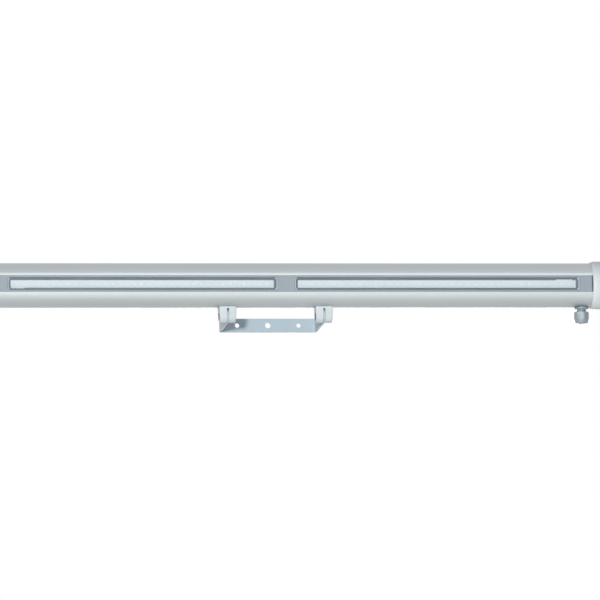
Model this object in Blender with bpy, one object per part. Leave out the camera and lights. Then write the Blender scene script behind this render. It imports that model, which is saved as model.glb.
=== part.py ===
"""Tubular LED flood light on a U bracket, in metres, +Z up.

A round aluminium extrusion holds two long LED windows behind a flat front strip.
It hangs on two slotted clamps, which turn on the ears of a flat-bar U bracket.
X runs along the tube, -Y is the side that the light shines to, and the origin
is the middle of the bracket's wall face. The lamp is built round its own tube
axis and then tilted about the pivot of the bracket.
"""
from math import acos, asin, cos, pi, radians, sin, sqrt

import bmesh
import bpy
from mathutils import Matrix, Vector

MM = 0.001

# Fits shared by all pieces
GAP = 0.3 * MM
OVERRUN = 4.0 * MM
WELD = 0.001 * MM

# How the lamp stands on its bracket
LAMP_TILT = radians(5.0)
PIVOT_REACH = 93.5 * MM
PIVOT_TO_AXIS = 55.5 * MM

# Front windows, counted along the tube
WINDOW_LEFT_LENGTH = 490.0 * MM
WINDOW_RIGHT_LENGTH = 520.0 * MM
WINDOW_BRIDGE = 30.0 * MM
WINDOW_END_MARGIN = 23.5 * MM
WINDOW_HEIGHT = 23.8 * MM
WINDOW_CORNER = 5.4 * MM
WINDOW_BEVEL = 1.0 * MM
BRACKET_TO_RIGHT_WINDOW = 30.5 * MM

# Housing tube
TUBE_RADIUS = 40.0 * MM
TUBE_WALL = 2.5 * MM
TUBE_FLOOR = 5.0 * MM
LIP_HALF_HEIGHT = 19.6 * MM
LIP_PROUD = 0.4 * MM
LEDGE_THICKNESS = 1.8 * MM
LEDGE_OVERLAP = 2.0 * MM
RIB_THICKNESS = 2.0 * MM
RIB_DEPTH = 3.5 * MM
PORT_RADIUS = 3.8 * MM
PORT_BORE = 2.1 * MM
PORT_SUNK = 0.5 * MM
PORT_ANGLES = (radians(62.0), radians(130.0))
TUBE_STEP = radians(4.0)
PORT_STEPS = 7

# Window strip, lenses and seals
STRIP_FACE = 36.0 * MM
STRIP_HALF_HEIGHT = 14.35 * MM
STRIP_THICKNESS = 2.0 * MM
PLUG_SHOWN = 1.5 * MM
PLUG_STEPS = 8
SEAL_THICKNESS = 0.8 * MM
SEAL_RIM = 1.1 * MM
SEAL_END_RIM = 5.0 * MM
LENS_THICKNESS = 2.0 * MM
CORNER_STEPS = 5

# Gear tray, LED boards and LEDs
TRAY_DEPTH = 3.9 * MM
TRAY_THICKNESS = 2.5 * MM
TRAY_SIDE = 1.5 * MM
TRAY_INSET = 3.0 * MM
BOARD_HALF_WIDTH = 6.75 * MM
BOARD_THICKNESS = 1.6 * MM
BOARD_MARGIN = 7.0 * MM
LED_SIDE = 3.0 * MM
LED_THICKNESS = 0.8 * MM
LED_MARGIN = 18.4 * MM
LEDS_PER_BOARD = 35

# Driver, its screws, the terminal block and the leads between them
DRIVER_LENGTH = 300.0 * MM
DRIVER_HEIGHT = 42.0 * MM
DRIVER_DEPTH = 26.0 * MM
DRIVER_EDGE = 2.0 * MM
DRIVER_TO_RIGHT_RIM = 154.0 * MM
DRIVER_FOOT = 14.0 * MM
DRIVER_FOOT_THICKNESS = 2.0 * MM
DRIVER_SCREW_SPREAD = 24.0 * MM
DRIVER_SCREW_RADIUS = 1.5 * MM
DRIVER_SCREW_HEAD = 3.0 * MM
DRIVER_SCREW_HEAD_DEPTH = 2.0 * MM
TERMINAL_LENGTH = 34.0 * MM
TERMINAL_HEIGHT = 22.0 * MM
TERMINAL_DEPTH = 15.0 * MM
TERMINAL_SPACING = 50.0 * MM
TERMINAL_EDGE = 1.0 * MM
TERMINAL_WAYS = 3
LEAD_RADIUS = 1.1 * MM
LEAD_SPREAD = 5.0 * MM
LEAD_SAG = 4.0 * MM
LEAD_STANDOFF = 7.5 * MM
LEAD_STEPS = 10
LEAD_SIDES = 8

# End caps, their gaskets and screws
CAP_RADIUS = 43.1 * MM
CAP_LENGTH = 38.0 * MM
CAP_OVERLAP = 24.0 * MM
CAP_CHAMFER = 5.0 * MM
CAP_LIP = 0.8 * MM
CAP_ROUND = 6.0 * MM
CAP_DISH_RADIUS = 27.0 * MM
CAP_DISH_DEPTH = 1.2 * MM
CAP_GASKET = 2.0 * MM
CAP_STEPS = 60
CAP_GASKET_STEPS = 40
CAP_SCREW_RADIUS = 1.75 * MM
CAP_SCREW_HEAD = 3.8 * MM
CAP_SCREW_HEAD_DEPTH = 2.6 * MM
CAP_SCREW_SINK = 4.0 * MM
CAP_SCREW_GRIP = 14.0 * MM

# Clamps under the tube and their hidden screws
CLAMP_WIDTH = 31.0 * MM
CLAMP_RADIUS = 12.0 * MM
CLAMP_ROOF = 14.0 * MM
CLAMP_BOTTOM_SHARE = 0.94
CLAMP_EDGE = 1.6 * MM
SADDLE_STEPS = 8
NOSE_STEPS = 16
CLAMP_SCREW_RADIUS = 2.5 * MM
CLAMP_SCREW_HEAD = 4.4 * MM
CLAMP_SCREW_HEAD_DEPTH = 3.0 * MM
CLAMP_SCREW_DEPTH = 7.0 * MM

# Pivot bolts
PIVOT_RADIUS = 4.0 * MM
PIVOT_ACROSS_FLATS = 13.0 * MM
PIVOT_HEAD = 5.3 * MM
PIVOT_NUT = 6.0 * MM
PIVOT_POCKET = 7.0 * MM
PIVOT_END = 0.2 * MM

# U bracket, one bent flat bar
BAR_WIDTH = 25.0 * MM
BAR_THICKNESS = 3.0 * MM
EAR_SPACING = 175.0 * MM
BEND_RADIUS = 2.5 * MM
BASE_HOLE = 5.0 * MM
BASE_END_HOLE = 4.0 * MM
BASE_HOLE_SPACING = 56.0 * MM
BEND_STEPS = 6

# Cable gland, distances along its axis counted from the tube axis
GLAND_TO_RIGHT_RIM = 15.8 * MM
GLAND_FLANGE = 13.4 * MM
GLAND_FLANGE_BELOW = 3.1 * MM
GLAND_GASKET = 1.2 * MM
GLAND_GASKET_RADIUS = 12.6 * MM
GLAND_SHANK = 10.0 * MM
GLAND_SHANK_INSIDE = 7.5 * MM
GLAND_BORE = 6.0 * MM
GLAND_NECK = 8.5 * MM
GLAND_NECK_LENGTH = 17.0 * MM
GLAND_SEAT_RADIUS = 6.6 * MM
GLAND_SEAT_DEPTH = 8.6 * MM
LOCKNUT_ACROSS_FLATS = 24.0 * MM
LOCKNUT_THICKNESS = 5.0 * MM
SEAL_RING_BORE = 3.8 * MM
SEAL_RING_LENGTH = 9.0 * MM
NUT_ACROSS_FLATS = 24.0 * MM
NUT_TOP_GAP = 4.8 * MM
NUT_HEX_LENGTH = 13.0 * MM
NUT_DOME_LENGTH = 7.7 * MM
NUT_DOME_END = 9.4 * MM
NUT_FLOOR = 4.6 * MM
NUT_CORNER_SHARE = 0.955
NUT_TURN = radians(-12.0)
ROUND_STEPS = 32
SCREW_STEPS = 10

# Places that follow from the sizes above
RIGHT_WINDOW_START = BRACKET_TO_RIGHT_WINDOW
RIGHT_WINDOW_END = RIGHT_WINDOW_START + WINDOW_RIGHT_LENGTH
LEFT_WINDOW_END = RIGHT_WINDOW_START - WINDOW_BRIDGE
LEFT_WINDOW_START = LEFT_WINDOW_END - WINDOW_LEFT_LENGTH
LEFT_RIM = LEFT_WINDOW_START - WINDOW_END_MARGIN
RIGHT_RIM = RIGHT_WINDOW_END + WINDOW_END_MARGIN
TUBE_START = LEFT_RIM - CAP_OVERLAP
TUBE_END = RIGHT_RIM + CAP_OVERLAP
WINDOWS = {
    "left": (LEFT_WINDOW_START, LEFT_WINDOW_END),
    "right": (RIGHT_WINDOW_START, RIGHT_WINDOW_END),
}
RIMS = {"left": (LEFT_RIM, -1.0), "right": (RIGHT_RIM, 1.0)}
EARS = {"left": -EAR_SPACING / 2, "right": EAR_SPACING / 2}
GLAND_X = RIGHT_RIM - GLAND_TO_RIGHT_RIM
DRIVER_END = RIGHT_RIM - DRIVER_TO_RIGHT_RIM
DRIVER_START = DRIVER_END - DRIVER_LENGTH

# Distances from the tube axis to the front, from the strip inwards
STRIP_BACK = STRIP_FACE - STRIP_THICKNESS
LEDGE_FRONT = STRIP_BACK - GAP
LEDGE_BACK = LEDGE_FRONT - LEDGE_THICKNESS
SEAL_BACK = LEDGE_FRONT - SEAL_THICKNESS
LENS_FRONT = SEAL_BACK - GAP
LENS_BACK = LENS_FRONT - LENS_THICKNESS
TRAY_RIM = LENS_BACK - GAP
TRAY_FLOOR = TRAY_RIM - TRAY_DEPTH
TRAY_BACK = TRAY_FLOOR - TRAY_THICKNESS
BOARD_FRONT = TRAY_FLOOR + GAP + BOARD_THICKNESS

# Heights on the housing's cross-section
INNER_RADIUS = TUBE_RADIUS - TUBE_WALL
FLOOR_FLAT = TUBE_RADIUS - TUBE_FLOOR
CHANNEL_HALF = STRIP_HALF_HEIGHT + GAP
SEAT_HALF = CHANNEL_HALF - LEDGE_OVERLAP
LENS_HALF = SEAT_HALF - GAP
TRAY_HALF = sqrt(INNER_RADIUS**2 - TRAY_FLOOR**2) - 1.5 * GAP
RIB_HALF = TRAY_HALF - RIB_DEPTH
PORT_RING = INNER_RADIUS - PORT_RADIUS + PORT_SUNK


def clear_scene():
    for item in list(bpy.data.objects):
        bpy.data.objects.remove(item, do_unlink=True)


def finish_material(name, colour, roughness, metallic, alpha=1.0):
    made = bpy.data.materials.new(name)
    made.use_nodes = True
    shader = made.node_tree.nodes["Principled BSDF"]
    shader.inputs["Base Color"].default_value = (*colour, 1.0)
    shader.inputs["Roughness"].default_value = roughness
    shader.inputs["Metallic"].default_value = metallic
    shader.inputs["Alpha"].default_value = alpha
    return made


FINISHES = {
    "anodised": ((0.66, 0.69, 0.69), 0.38, 0.85),
    "strip": ((0.36, 0.41, 0.46), 0.45, 0.6),
    "clear": ((0.92, 0.95, 0.96), 0.05, 0.0, 0.25),
    "silicone": ((0.75, 0.78, 0.78), 0.6, 0.0),
    "board": ((0.85, 0.88, 0.9), 0.45, 0.0),
    "tray": ((0.45, 0.48, 0.5), 0.5, 0.8),
    "driver": ((0.12, 0.13, 0.14), 0.6, 0.0),
    "terminal": ((0.8, 0.8, 0.76), 0.5, 0.0),
    "lead": ((0.25, 0.05, 0.04), 0.5, 0.0),
    "cap": ((0.78, 0.82, 0.84), 0.5, 0.0),
    "rubber": ((0.05, 0.05, 0.05), 0.8, 0.0),
    "steel": ((0.6, 0.6, 0.58), 0.35, 1.0),
    "clamp": ((0.8, 0.83, 0.84), 0.5, 0.0),
    "bracket": ((0.42, 0.5, 0.57), 0.5, 0.3),
    "gland": ((0.32, 0.37, 0.41), 0.5, 0.0),
}


def empty(name, location, parent=None, tilt=0.0):
    made = bpy.data.objects.new(name, None)
    bpy.context.collection.objects.link(made)
    made.location = location
    made.rotation_euler = (tilt, 0.0, 0.0)
    made.parent = parent
    return made


def piece(name, mesh, finish, parent, location=(0.0, 0.0, 0.0)):
    """A named sub-part with its own material, smooth on its rounds."""
    data = bpy.data.meshes.new(name)
    mesh.to_mesh(data)
    mesh.free()
    made = bpy.data.objects.new(name, data)
    bpy.context.collection.objects.link(made)
    data.materials.append(finish_material(name, *FINISHES[finish]))
    data.shade_smooth()
    data.set_sharp_from_angle(angle=radians(35.0))
    made.location = location
    made.parent = parent
    return made


def helper(name, mesh, parent, location=(0.0, 0.0, 0.0)):
    """A solid that only cuts or joins another one."""
    data = bpy.data.meshes.new(name)
    mesh.to_mesh(data)
    mesh.free()
    made = bpy.data.objects.new(name, data)
    bpy.context.collection.objects.link(made)
    made.location = location
    made.parent = parent
    made.hide_render = True
    made.display_type = "WIRE"
    return made


def combine(target, other, operation):
    modifier = target.modifiers.new(f"{operation.lower()} {other.name}", "BOOLEAN")
    modifier.operation = operation
    modifier.object = other


def on_circle(radius, angle, centre=(0.0, 0.0)):
    """A (y, z) point; angle 0 is the front of the lamp and 90 degrees its top."""
    return (centre[0] - radius * cos(angle), centre[1] + radius * sin(angle))


def arc(radius, start, end, steps, centre=(0.0, 0.0)):
    turn = (end - start) / steps
    return [on_circle(radius, start + turn * i, centre) for i in range(steps + 1)]


def circle(radius, steps, centre=(0.0, 0.0)):
    return arc(radius, 0.0, 2 * pi, steps, centre)[:-1]


def half_chord(radius, distance):
    return sqrt(radius**2 - distance**2)


def prism(outer, holes, start, end):
    """Extrudes (y, z) outlines along X, with holes kept open."""
    mesh = bmesh.new()
    edges = []
    for loop in [outer, *holes]:
        verts = [mesh.verts.new((start, y, z)) for y, z in loop]
        edges += [mesh.edges.new((a, b)) for a, b in zip(verts, verts[1:] + verts[:1])]
    faces = bmesh.ops.triangle_fill(mesh, edges=edges, use_beauty=True)["geom"]
    faces = [item for item in faces if isinstance(item, bmesh.types.BMFace)]
    grown = bmesh.ops.extrude_face_region(mesh, geom=faces)["geom"]
    grown = [item for item in grown if isinstance(item, bmesh.types.BMVert)]
    bmesh.ops.translate(mesh, verts=grown, vec=(end - start, 0.0, 0.0))
    bmesh.ops.recalc_face_normals(mesh, faces=mesh.faces)
    return mesh


def box(low, high):
    mesh = bmesh.new()
    bmesh.ops.create_cube(mesh, size=1.0)
    low, high = Vector(low), Vector(high)
    bmesh.ops.scale(mesh, verts=mesh.verts, vec=high - low)
    bmesh.ops.translate(mesh, verts=mesh.verts, vec=(low + high) / 2)
    return mesh


def rounded_box(low, high, edge):
    mesh = box(low, high)
    bmesh.ops.bevel(
        mesh, geom=mesh.edges, offset=edge, segments=2, profile=0.5, affect="EDGES"
    )
    return mesh


def turned(points, axis, steps):
    """Spins an (x, 0, z) outline about a lamp axis and closes it."""
    mesh = bmesh.new()
    verts = [mesh.verts.new(p) for p in points]
    edges = [mesh.edges.new((a, b)) for a, b in zip(verts, verts[1:] + verts[:1])]
    bmesh.ops.spin(
        mesh, geom=verts + edges, axis=axis, angle=2 * pi, steps=steps, use_merge=True
    )
    bmesh.ops.remove_doubles(mesh, verts=mesh.verts, dist=WELD)
    spare = [e for e in mesh.edges if not e.link_faces]
    bmesh.ops.delete(mesh, geom=spare, context="EDGES")
    bmesh.ops.recalc_face_normals(mesh, faces=mesh.faces)
    return mesh


def turned_on_x(outline, steps=ROUND_STEPS):
    """outline holds (distance along X, radius) pairs."""
    return turned([(x, 0.0, r) for x, r in outline], (1.0, 0.0, 0.0), steps)


def turned_down(outline, steps=ROUND_STEPS):
    """outline holds (distance below the tube axis, radius) pairs."""
    return turned([(r, 0.0, -d) for d, r in outline], (0.0, 0.0, 1.0), steps)


def add_to(mesh, other, place=Matrix.Identity(4)):
    """Adds another mesh to this one as a separate body of the same node."""
    other.transform(place)
    data = bpy.data.meshes.new("group")
    other.to_mesh(data)
    other.free()
    mesh.from_mesh(data)
    bpy.data.meshes.remove(data)


def rod_on_x(start, end, radius, centre=(0.0, 0.0), steps=ROUND_STEPS):
    return prism(circle(radius, steps, centre), [], start, end)


def hexagon(across_flats, turn=0.0):
    radius = across_flats / (2 * cos(pi / 6))
    return [on_circle(radius, turn + pi / 3 * i) for i in range(6)]


def rounded_window(start, end, half_height, corner):
    """A closed (x, z) outline with round corners."""
    centres = (
        (end - corner, half_height - corner, 0.0),
        (start + corner, half_height - corner, pi / 2),
        (start + corner, corner - half_height, pi),
        (end - corner, corner - half_height, 3 * pi / 2),
    )
    points = []
    for x, z, first in centres:
        for i in range(CORNER_STEPS + 1):
            angle = first + pi / 2 * i / CORNER_STEPS
            points.append((x + corner * cos(angle), z + corner * sin(angle)))
    return points


def port_bump(angle):
    """The inner wall's run round one screw port, from its near to its far side."""
    reach = (INNER_RADIUS**2 - PORT_RING**2 - PORT_RADIUS**2) / (2 * PORT_RING * PORT_RADIUS)
    open_half = acos(reach)
    centre = on_circle(PORT_RING, angle)
    return arc(
        PORT_RADIUS, angle - open_half, angle + open_half - 2 * pi, PORT_STEPS, centre
    )


def port_half_angle():
    both = INNER_RADIUS**2 + PORT_RING**2 - PORT_RADIUS**2
    return acos(both / (2 * INNER_RADIUS * PORT_RING))


def wall_arc(start, end):
    """The inner wall between two angles, without its end points."""
    steps = max(1, round(abs(end - start) / TUBE_STEP))
    return arc(INNER_RADIUS, start, end, steps)[1:-1]


def rib(front, back, half_height):
    """One rib on the inner wall, between two distances from the tube axis."""
    return [
        (-front, half_chord(INNER_RADIUS, front)),
        (-front, half_height),
        (-back, half_height),
        (-back, half_chord(INNER_RADIUS, back)),
    ]


def wall_angle(distance):
    return acos(distance / INNER_RADIUS)


def inner_half(with_floor):
    """The inside of the housing from the front lip to the back, for the upper half."""
    front_rib = (TRAY_FLOOR + GAP + RIB_THICKNESS, TRAY_FLOOR + GAP)
    back_rib = (TRAY_BACK - GAP, TRAY_BACK - GAP - RIB_THICKNESS)
    points = [
        (-STRIP_FACE - LIP_PROUD, CHANNEL_HALF),
        (-LEDGE_FRONT, CHANNEL_HALF),
        (-LEDGE_FRONT, SEAT_HALF),
        (-LEDGE_BACK, SEAT_HALF),
        (-LEDGE_BACK, half_chord(INNER_RADIUS, LEDGE_BACK)),
    ]
    angle = wall_angle(LEDGE_BACK)
    for front, back in (front_rib, back_rib):
        points += wall_arc(angle, wall_angle(front))
        points += rib(front, back, RIB_HALF)
        angle = wall_angle(back)
    for number, port in enumerate(PORT_ANGLES):
        if with_floor and number == 1:
            flat_half = acos(FLOOR_FLAT / INNER_RADIUS)
            points += wall_arc(angle, pi / 2 - flat_half)
            points += arc(INNER_RADIUS, pi / 2 - flat_half, pi / 2 + flat_half, 1)
            angle = pi / 2 + flat_half
        points += wall_arc(angle, port - port_half_angle())
        points += port_bump(port)
        angle = port + port_half_angle()
    return points + wall_arc(angle, pi)


def housing_outline():
    lip = asin(LIP_HALF_HEIGHT / TUBE_RADIUS)
    steps = round((2 * pi - 2 * lip) / TUBE_STEP)
    outside = arc(TUBE_RADIUS, lip, 2 * pi - lip, steps)
    lower = [(y, -z) for y, z in inner_half(with_floor=True)]
    back = on_circle(INNER_RADIUS, pi)
    upper = inner_half(with_floor=False)
    return outside + lower + [back] + upper[::-1]


def build_housing(axis):
    bores = [circle(PORT_BORE, 2 * PORT_STEPS, centre) for centre in port_centres()]
    tube = piece(
        "housing_tube",
        prism(housing_outline(), bores, TUBE_START, TUBE_END),
        "anodised",
        axis,
    )
    shank = turned_down(
        [
            (FLOOR_FLAT - OVERRUN, 0.0),
            (FLOOR_FLAT - OVERRUN, GLAND_SHANK + GAP),
            (TUBE_RADIUS + OVERRUN, GLAND_SHANK + GAP),
            (TUBE_RADIUS + OVERRUN, 0.0),
        ]
    )
    combine(tube, helper("gland_hole", shank, axis, (GLAND_X, 0.0, 0.0)), "DIFFERENCE")
    for side in EARS:
        combine(tube, clamp_screw_holes(f"clamp_holes_{side}", side, axis), "DIFFERENCE")


def clamp_screw_places(side):
    """X of the two screws that hold one clamp, each in the middle of a lug."""
    slot_half = BAR_THICKNESS / 2 + GAP
    offset = (CLAMP_WIDTH / 2 + slot_half) / 2
    return [EARS[side] - offset, EARS[side] + offset]


def clamp_screw_holes(name, side, axis):
    """Clearance holes through the housing's floor."""
    mesh = bmesh.new()
    radius = CLAMP_SCREW_RADIUS + GAP
    for x in clamp_screw_places(side):
        hole = turned_down(
            [
                (FLOOR_FLAT - OVERRUN, 0.0),
                (FLOOR_FLAT - OVERRUN, radius),
                (TUBE_RADIUS + OVERRUN, radius),
                (TUBE_RADIUS + OVERRUN, 0.0),
            ],
            steps=SCREW_STEPS,
        )
        add_to(mesh, hole, Matrix.Translation((x, 0.0, 0.0)))
    return helper(name, mesh, axis)


def flat_panel(front, back, outline_front, outline_back, holes_front, holes_back):
    """A plate facing -Y whose holes may open wider at the front than at the back."""
    mesh = bmesh.new()
    rings = []
    for distance, outline, holes in (
        (front, outline_front, holes_front),
        (back, outline_back, holes_back),
    ):
        loops = [[mesh.verts.new((x, -distance, z)) for x, z in p] for p in [outline, *holes]]
        edges = []
        for loop in loops:
            edges += [mesh.edges.new(pair) for pair in zip(loop, loop[1:] + loop[:1])]
        bmesh.ops.triangle_fill(mesh, edges=edges, use_beauty=True)
        rings.append(loops)
    for near, far in zip(*rings):
        for i, vert in enumerate(near):
            j = (i + 1) % len(near)
            mesh.faces.new((vert, near[j], far[j], far[i]))
    bmesh.ops.recalc_face_normals(mesh, faces=mesh.faces)
    return mesh


def rectangle(start, end, half_height):
    return [(start, -half_height), (end, -half_height), (end, half_height), (start, half_height)]


def build_strip(axis):
    """The flat front strip; each window has a bevelled rim."""
    short = PLUG_SHOWN + GAP
    outline = rectangle(LEFT_RIM + short, RIGHT_RIM - short, STRIP_HALF_HEIGHT)
    wide = []
    narrow = []
    for start, end in WINDOWS.values():
        wide.append(rounded_window(start, end, WINDOW_HEIGHT / 2, WINDOW_CORNER))
        narrow.append(
            rounded_window(
                start + WINDOW_BEVEL,
                end - WINDOW_BEVEL,
                WINDOW_HEIGHT / 2 - WINDOW_BEVEL,
                WINDOW_CORNER - WINDOW_BEVEL,
            )
        )
    mesh = flat_panel(STRIP_FACE, STRIP_BACK, outline, outline, wide, narrow)
    piece("window_strip", mesh, "strip", axis)


def build_plugs(axis):
    """A rubber plug in each end of the channel, from the strip to the tube's end."""
    rise = asin(STRIP_HALF_HEIGHT / TUBE_RADIUS)
    outline = arc(TUBE_RADIUS, -rise, rise, PLUG_STEPS)
    outline += [(-STRIP_BACK, STRIP_HALF_HEIGHT), (-STRIP_BACK, -STRIP_HALF_HEIGHT)]
    for side, (rim, way) in RIMS.items():
        start, end = rim - way * PLUG_SHOWN, rim + way * CAP_OVERLAP
        piece(f"channel_plug_{side}", prism(outline, [], start, end), "rubber", axis)


def build_window_stack(axis):
    """Behind each window: a seal frame and a clear lens."""
    for side, (start, end) in WINDOWS.items():
        outline = rectangle(start - SEAL_END_RIM, end + SEAL_END_RIM, LENS_HALF)
        opening = rounded_window(start, end, LENS_HALF - SEAL_RIM, WINDOW_CORNER)
        seal = flat_panel(LEDGE_FRONT, SEAL_BACK, outline, outline, [opening], [opening])
        piece(f"lens_seal_{side}", seal, "silicone", axis)
        lens = flat_panel(LENS_FRONT, LENS_BACK, outline, outline, [], [])
        piece(f"lens_{side}", lens, "clear", axis)


def tray_outline():
    """The shelf between the ribs, with two walls that carry the lens edges."""
    inner = LENS_HALF - TRAY_SIDE
    half = [
        (-TRAY_FLOOR, inner),
        (-TRAY_RIM, inner),
        (-TRAY_RIM, LENS_HALF),
        (-TRAY_FLOOR, LENS_HALF),
        (-TRAY_FLOOR, TRAY_HALF),
        (-TRAY_BACK, TRAY_HALF),
    ]
    return half + [(y, -z) for y, z in half[::-1]]


def build_tray(axis):
    mesh = prism(tray_outline(), [], TUBE_START + TRAY_INSET, TUBE_END - TRAY_INSET)
    piece("gear_tray", mesh, "tray", axis)


def build_boards(axis):
    """One strip board and one row of LEDs in each window."""
    for side, (start, end) in WINDOWS.items():
        plate = box(
            (start + BOARD_MARGIN, -BOARD_FRONT, -BOARD_HALF_WIDTH),
            (end - BOARD_MARGIN, BOARD_THICKNESS - BOARD_FRONT, BOARD_HALF_WIDTH),
        )
        board = piece(f"led_board_{side}", plate, "board", axis)
        first = start + LED_MARGIN
        pitch = (end - start - 2 * LED_MARGIN) / (LEDS_PER_BOARD - 1)
        chips = bmesh.new()
        for i in range(LEDS_PER_BOARD):
            x = first + pitch * i
            add_to(chips, led_chip(), Matrix.Translation((x, -BOARD_FRONT, 0.0)))
        combine(board, helper(f"led_chips_{side}", chips, axis), "UNION")


def led_chip():
    """A square chip on the board's face at y = 0, its root inside the board."""
    half = LED_SIDE / 2
    return box((-half, -LED_THICKNESS, -half), (half, BOARD_THICKNESS / 2, half))


def build_driver(axis):
    """A long driver box with a screwed foot at each end, on the back of the tray."""
    start = DRIVER_START
    end = DRIVER_END
    seat = GAP - TRAY_BACK
    half = DRIVER_HEIGHT / 2
    body = rounded_box((start, seat, -half), (end, seat + DRIVER_DEPTH, half), DRIVER_EDGE)
    driver = piece("led_driver", body, "driver", axis)
    foot = box(
        (start - DRIVER_FOOT, seat, -half + DRIVER_EDGE),
        (end + DRIVER_FOOT, seat + DRIVER_FOOT_THICKNESS, half - DRIVER_EDGE),
    )
    combine(driver, helper("driver_feet", foot, axis), "UNION")
    turn = Matrix.Rotation(pi / 2, 4, "Z")
    holes = bmesh.new()
    number = 0
    for x in (start - DRIVER_FOOT / 2, end + DRIVER_FOOT / 2):
        for z in (-DRIVER_SCREW_SPREAD / 2, DRIVER_SCREW_SPREAD / 2):
            number += 1
            screw = driver_screw()
            screw.transform(turn)
            piece(f"driver_screw_{number}", screw, "steel", axis, (x, seat, z))
            add_to(holes, driver_screw_hole(), Matrix.Translation((x, seat, z)) @ turn)
    combine(driver, helper("driver_holes", holes, axis), "DIFFERENCE")


def driver_screw():
    """Its own +X points away from the tray; its tip ends in the foot."""
    top = DRIVER_FOOT_THICKNESS + GAP
    return turned_on_x(
        [
            (0.0, 0.0),
            (0.0, DRIVER_SCREW_RADIUS),
            (top, DRIVER_SCREW_RADIUS),
            (top, DRIVER_SCREW_HEAD),
            (top + DRIVER_SCREW_HEAD_DEPTH, DRIVER_SCREW_HEAD),
            (top + DRIVER_SCREW_HEAD_DEPTH, 0.0),
        ],
        steps=SCREW_STEPS,
    )


def driver_screw_hole():
    radius = DRIVER_SCREW_RADIUS + GAP
    return rod_on_x(-OVERRUN, DRIVER_FOOT_THICKNESS + OVERRUN, radius, steps=SCREW_STEPS)


def build_terminal(axis):
    """The mains terminal block and its two leads to the driver."""
    seat = GAP - TRAY_BACK
    start = DRIVER_END + TERMINAL_SPACING
    half = TERMINAL_HEIGHT / 2
    body = rounded_box(
        (start, seat, -half), (start + TERMINAL_LENGTH, seat + TERMINAL_DEPTH, half), TERMINAL_EDGE
    )
    block = piece("terminal_block", body, "terminal", axis)
    ways = bmesh.new()
    pitch = TERMINAL_HEIGHT / TERMINAL_WAYS
    for i in range(TERMINAL_WAYS):
        z = pitch * (i + 0.5) - half
        way = box(
            (start + TERMINAL_LENGTH / 2, seat + TERMINAL_DEPTH / 2, z - pitch / 3),
            (start + TERMINAL_LENGTH + OVERRUN, seat + TERMINAL_DEPTH * 0.75, z + pitch / 3),
        )
        add_to(ways, way)
    combine(block, helper("terminal_ways", ways, axis), "DIFFERENCE")
    build_leads(axis, DRIVER_END + GAP, start - GAP, seat + LEAD_STANDOFF)


def build_leads(axis, start, end, y):
    """Two short leads, each one bent wire between flat faces."""
    for name, z in (("live", -LEAD_SPREAD / 2), ("neutral", LEAD_SPREAD / 2)):
        mesh = bmesh.new()
        rings = []
        for i in range(LEAD_STEPS + 1):
            along = i / LEAD_STEPS
            x = start + (end - start) * along
            centre = (y + LEAD_SAG * sin(pi * along) ** 2, z)
            ring = circle(LEAD_RADIUS, LEAD_SIDES, centre)
            rings.append([mesh.verts.new((x, *point)) for point in ring])
        mesh.faces.new(rings[0])
        mesh.faces.new(rings[-1])
        for near, far in zip(rings, rings[1:]):
            for i in range(LEAD_SIDES):
                j = (i + 1) % LEAD_SIDES
                mesh.faces.new((near[i], near[j], far[j], far[i]))
        bmesh.ops.recalc_face_normals(mesh, faces=mesh.faces)
        piece(f"driver_lead_{name}", mesh, "lead", axis)


def cap_outline(rim, way):
    """Half section of a cap: a chamfered mouth, a straight skirt and a rounded end."""
    bore = TUBE_RADIUS + GAP
    floor = CAP_OVERLAP + CAP_GASKET + 2 * GAP
    points = [
        (floor, 0.0),
        (floor, bore),
        (0.0, bore),
        (0.0, bore + CAP_LIP),
        (CAP_CHAMFER, CAP_RADIUS),
    ]
    for i in range(CORNER_STEPS + 1):
        angle = pi / 2 * i / CORNER_STEPS
        along = CAP_LENGTH - CAP_ROUND + CAP_ROUND * sin(angle)
        points.append((along, CAP_RADIUS - CAP_ROUND + CAP_ROUND * cos(angle)))
    points += [
        (CAP_LENGTH, CAP_DISH_RADIUS + CAP_DISH_DEPTH),
        (CAP_LENGTH - CAP_DISH_DEPTH, CAP_DISH_RADIUS),
        (CAP_LENGTH - CAP_DISH_DEPTH, 0.0),
    ]
    return [(rim + way * along, radius) for along, radius in points]


def port_centres():
    """The (y, z) centres of the four screw ports."""
    return [on_circle(PORT_RING, sign * a) for a in PORT_ANGLES for sign in (1, -1)]


def build_caps(axis):
    for side, (rim, way) in RIMS.items():
        cap = piece(
            f"end_cap_{side}", turned_on_x(cap_outline(rim, way), CAP_STEPS), "cap", axis
        )
        end = rim + way * CAP_LENGTH
        holes = bmesh.new()
        for number, centre in enumerate(port_centres(), 1):
            add_to(holes, cap_screw(way, GAP, OVERRUN), Matrix.Translation((end, *centre)))
            screw = cap_screw(way)
            piece(f"cap_screw_{side}_{number}", screw, "steel", axis, (end, *centre))
        combine(cap, helper(f"cap_holes_{side}", holes, axis), "DIFFERENCE")
        build_cap_gasket(side, rim, way, axis)


def cap_screw(way, spare=0.0, past=0.0):
    """A cap screw, or its hole when spare is added; x = 0 is the cap's end face."""
    seat = -CAP_SCREW_SINK - spare
    top = seat + spare + CAP_SCREW_HEAD_DEPTH if past == 0.0 else past
    tip = -(CAP_LENGTH - CAP_OVERLAP) - CAP_SCREW_GRIP
    outline = [
        (tip, 0.0),
        (tip, CAP_SCREW_RADIUS + spare),
        (seat, CAP_SCREW_RADIUS + spare),
        (seat, CAP_SCREW_HEAD + spare),
        (top, CAP_SCREW_HEAD + spare),
        (top, 0.0),
    ]
    return turned_on_x([(way * x, r) for x, r in outline], steps=SCREW_STEPS)


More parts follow.
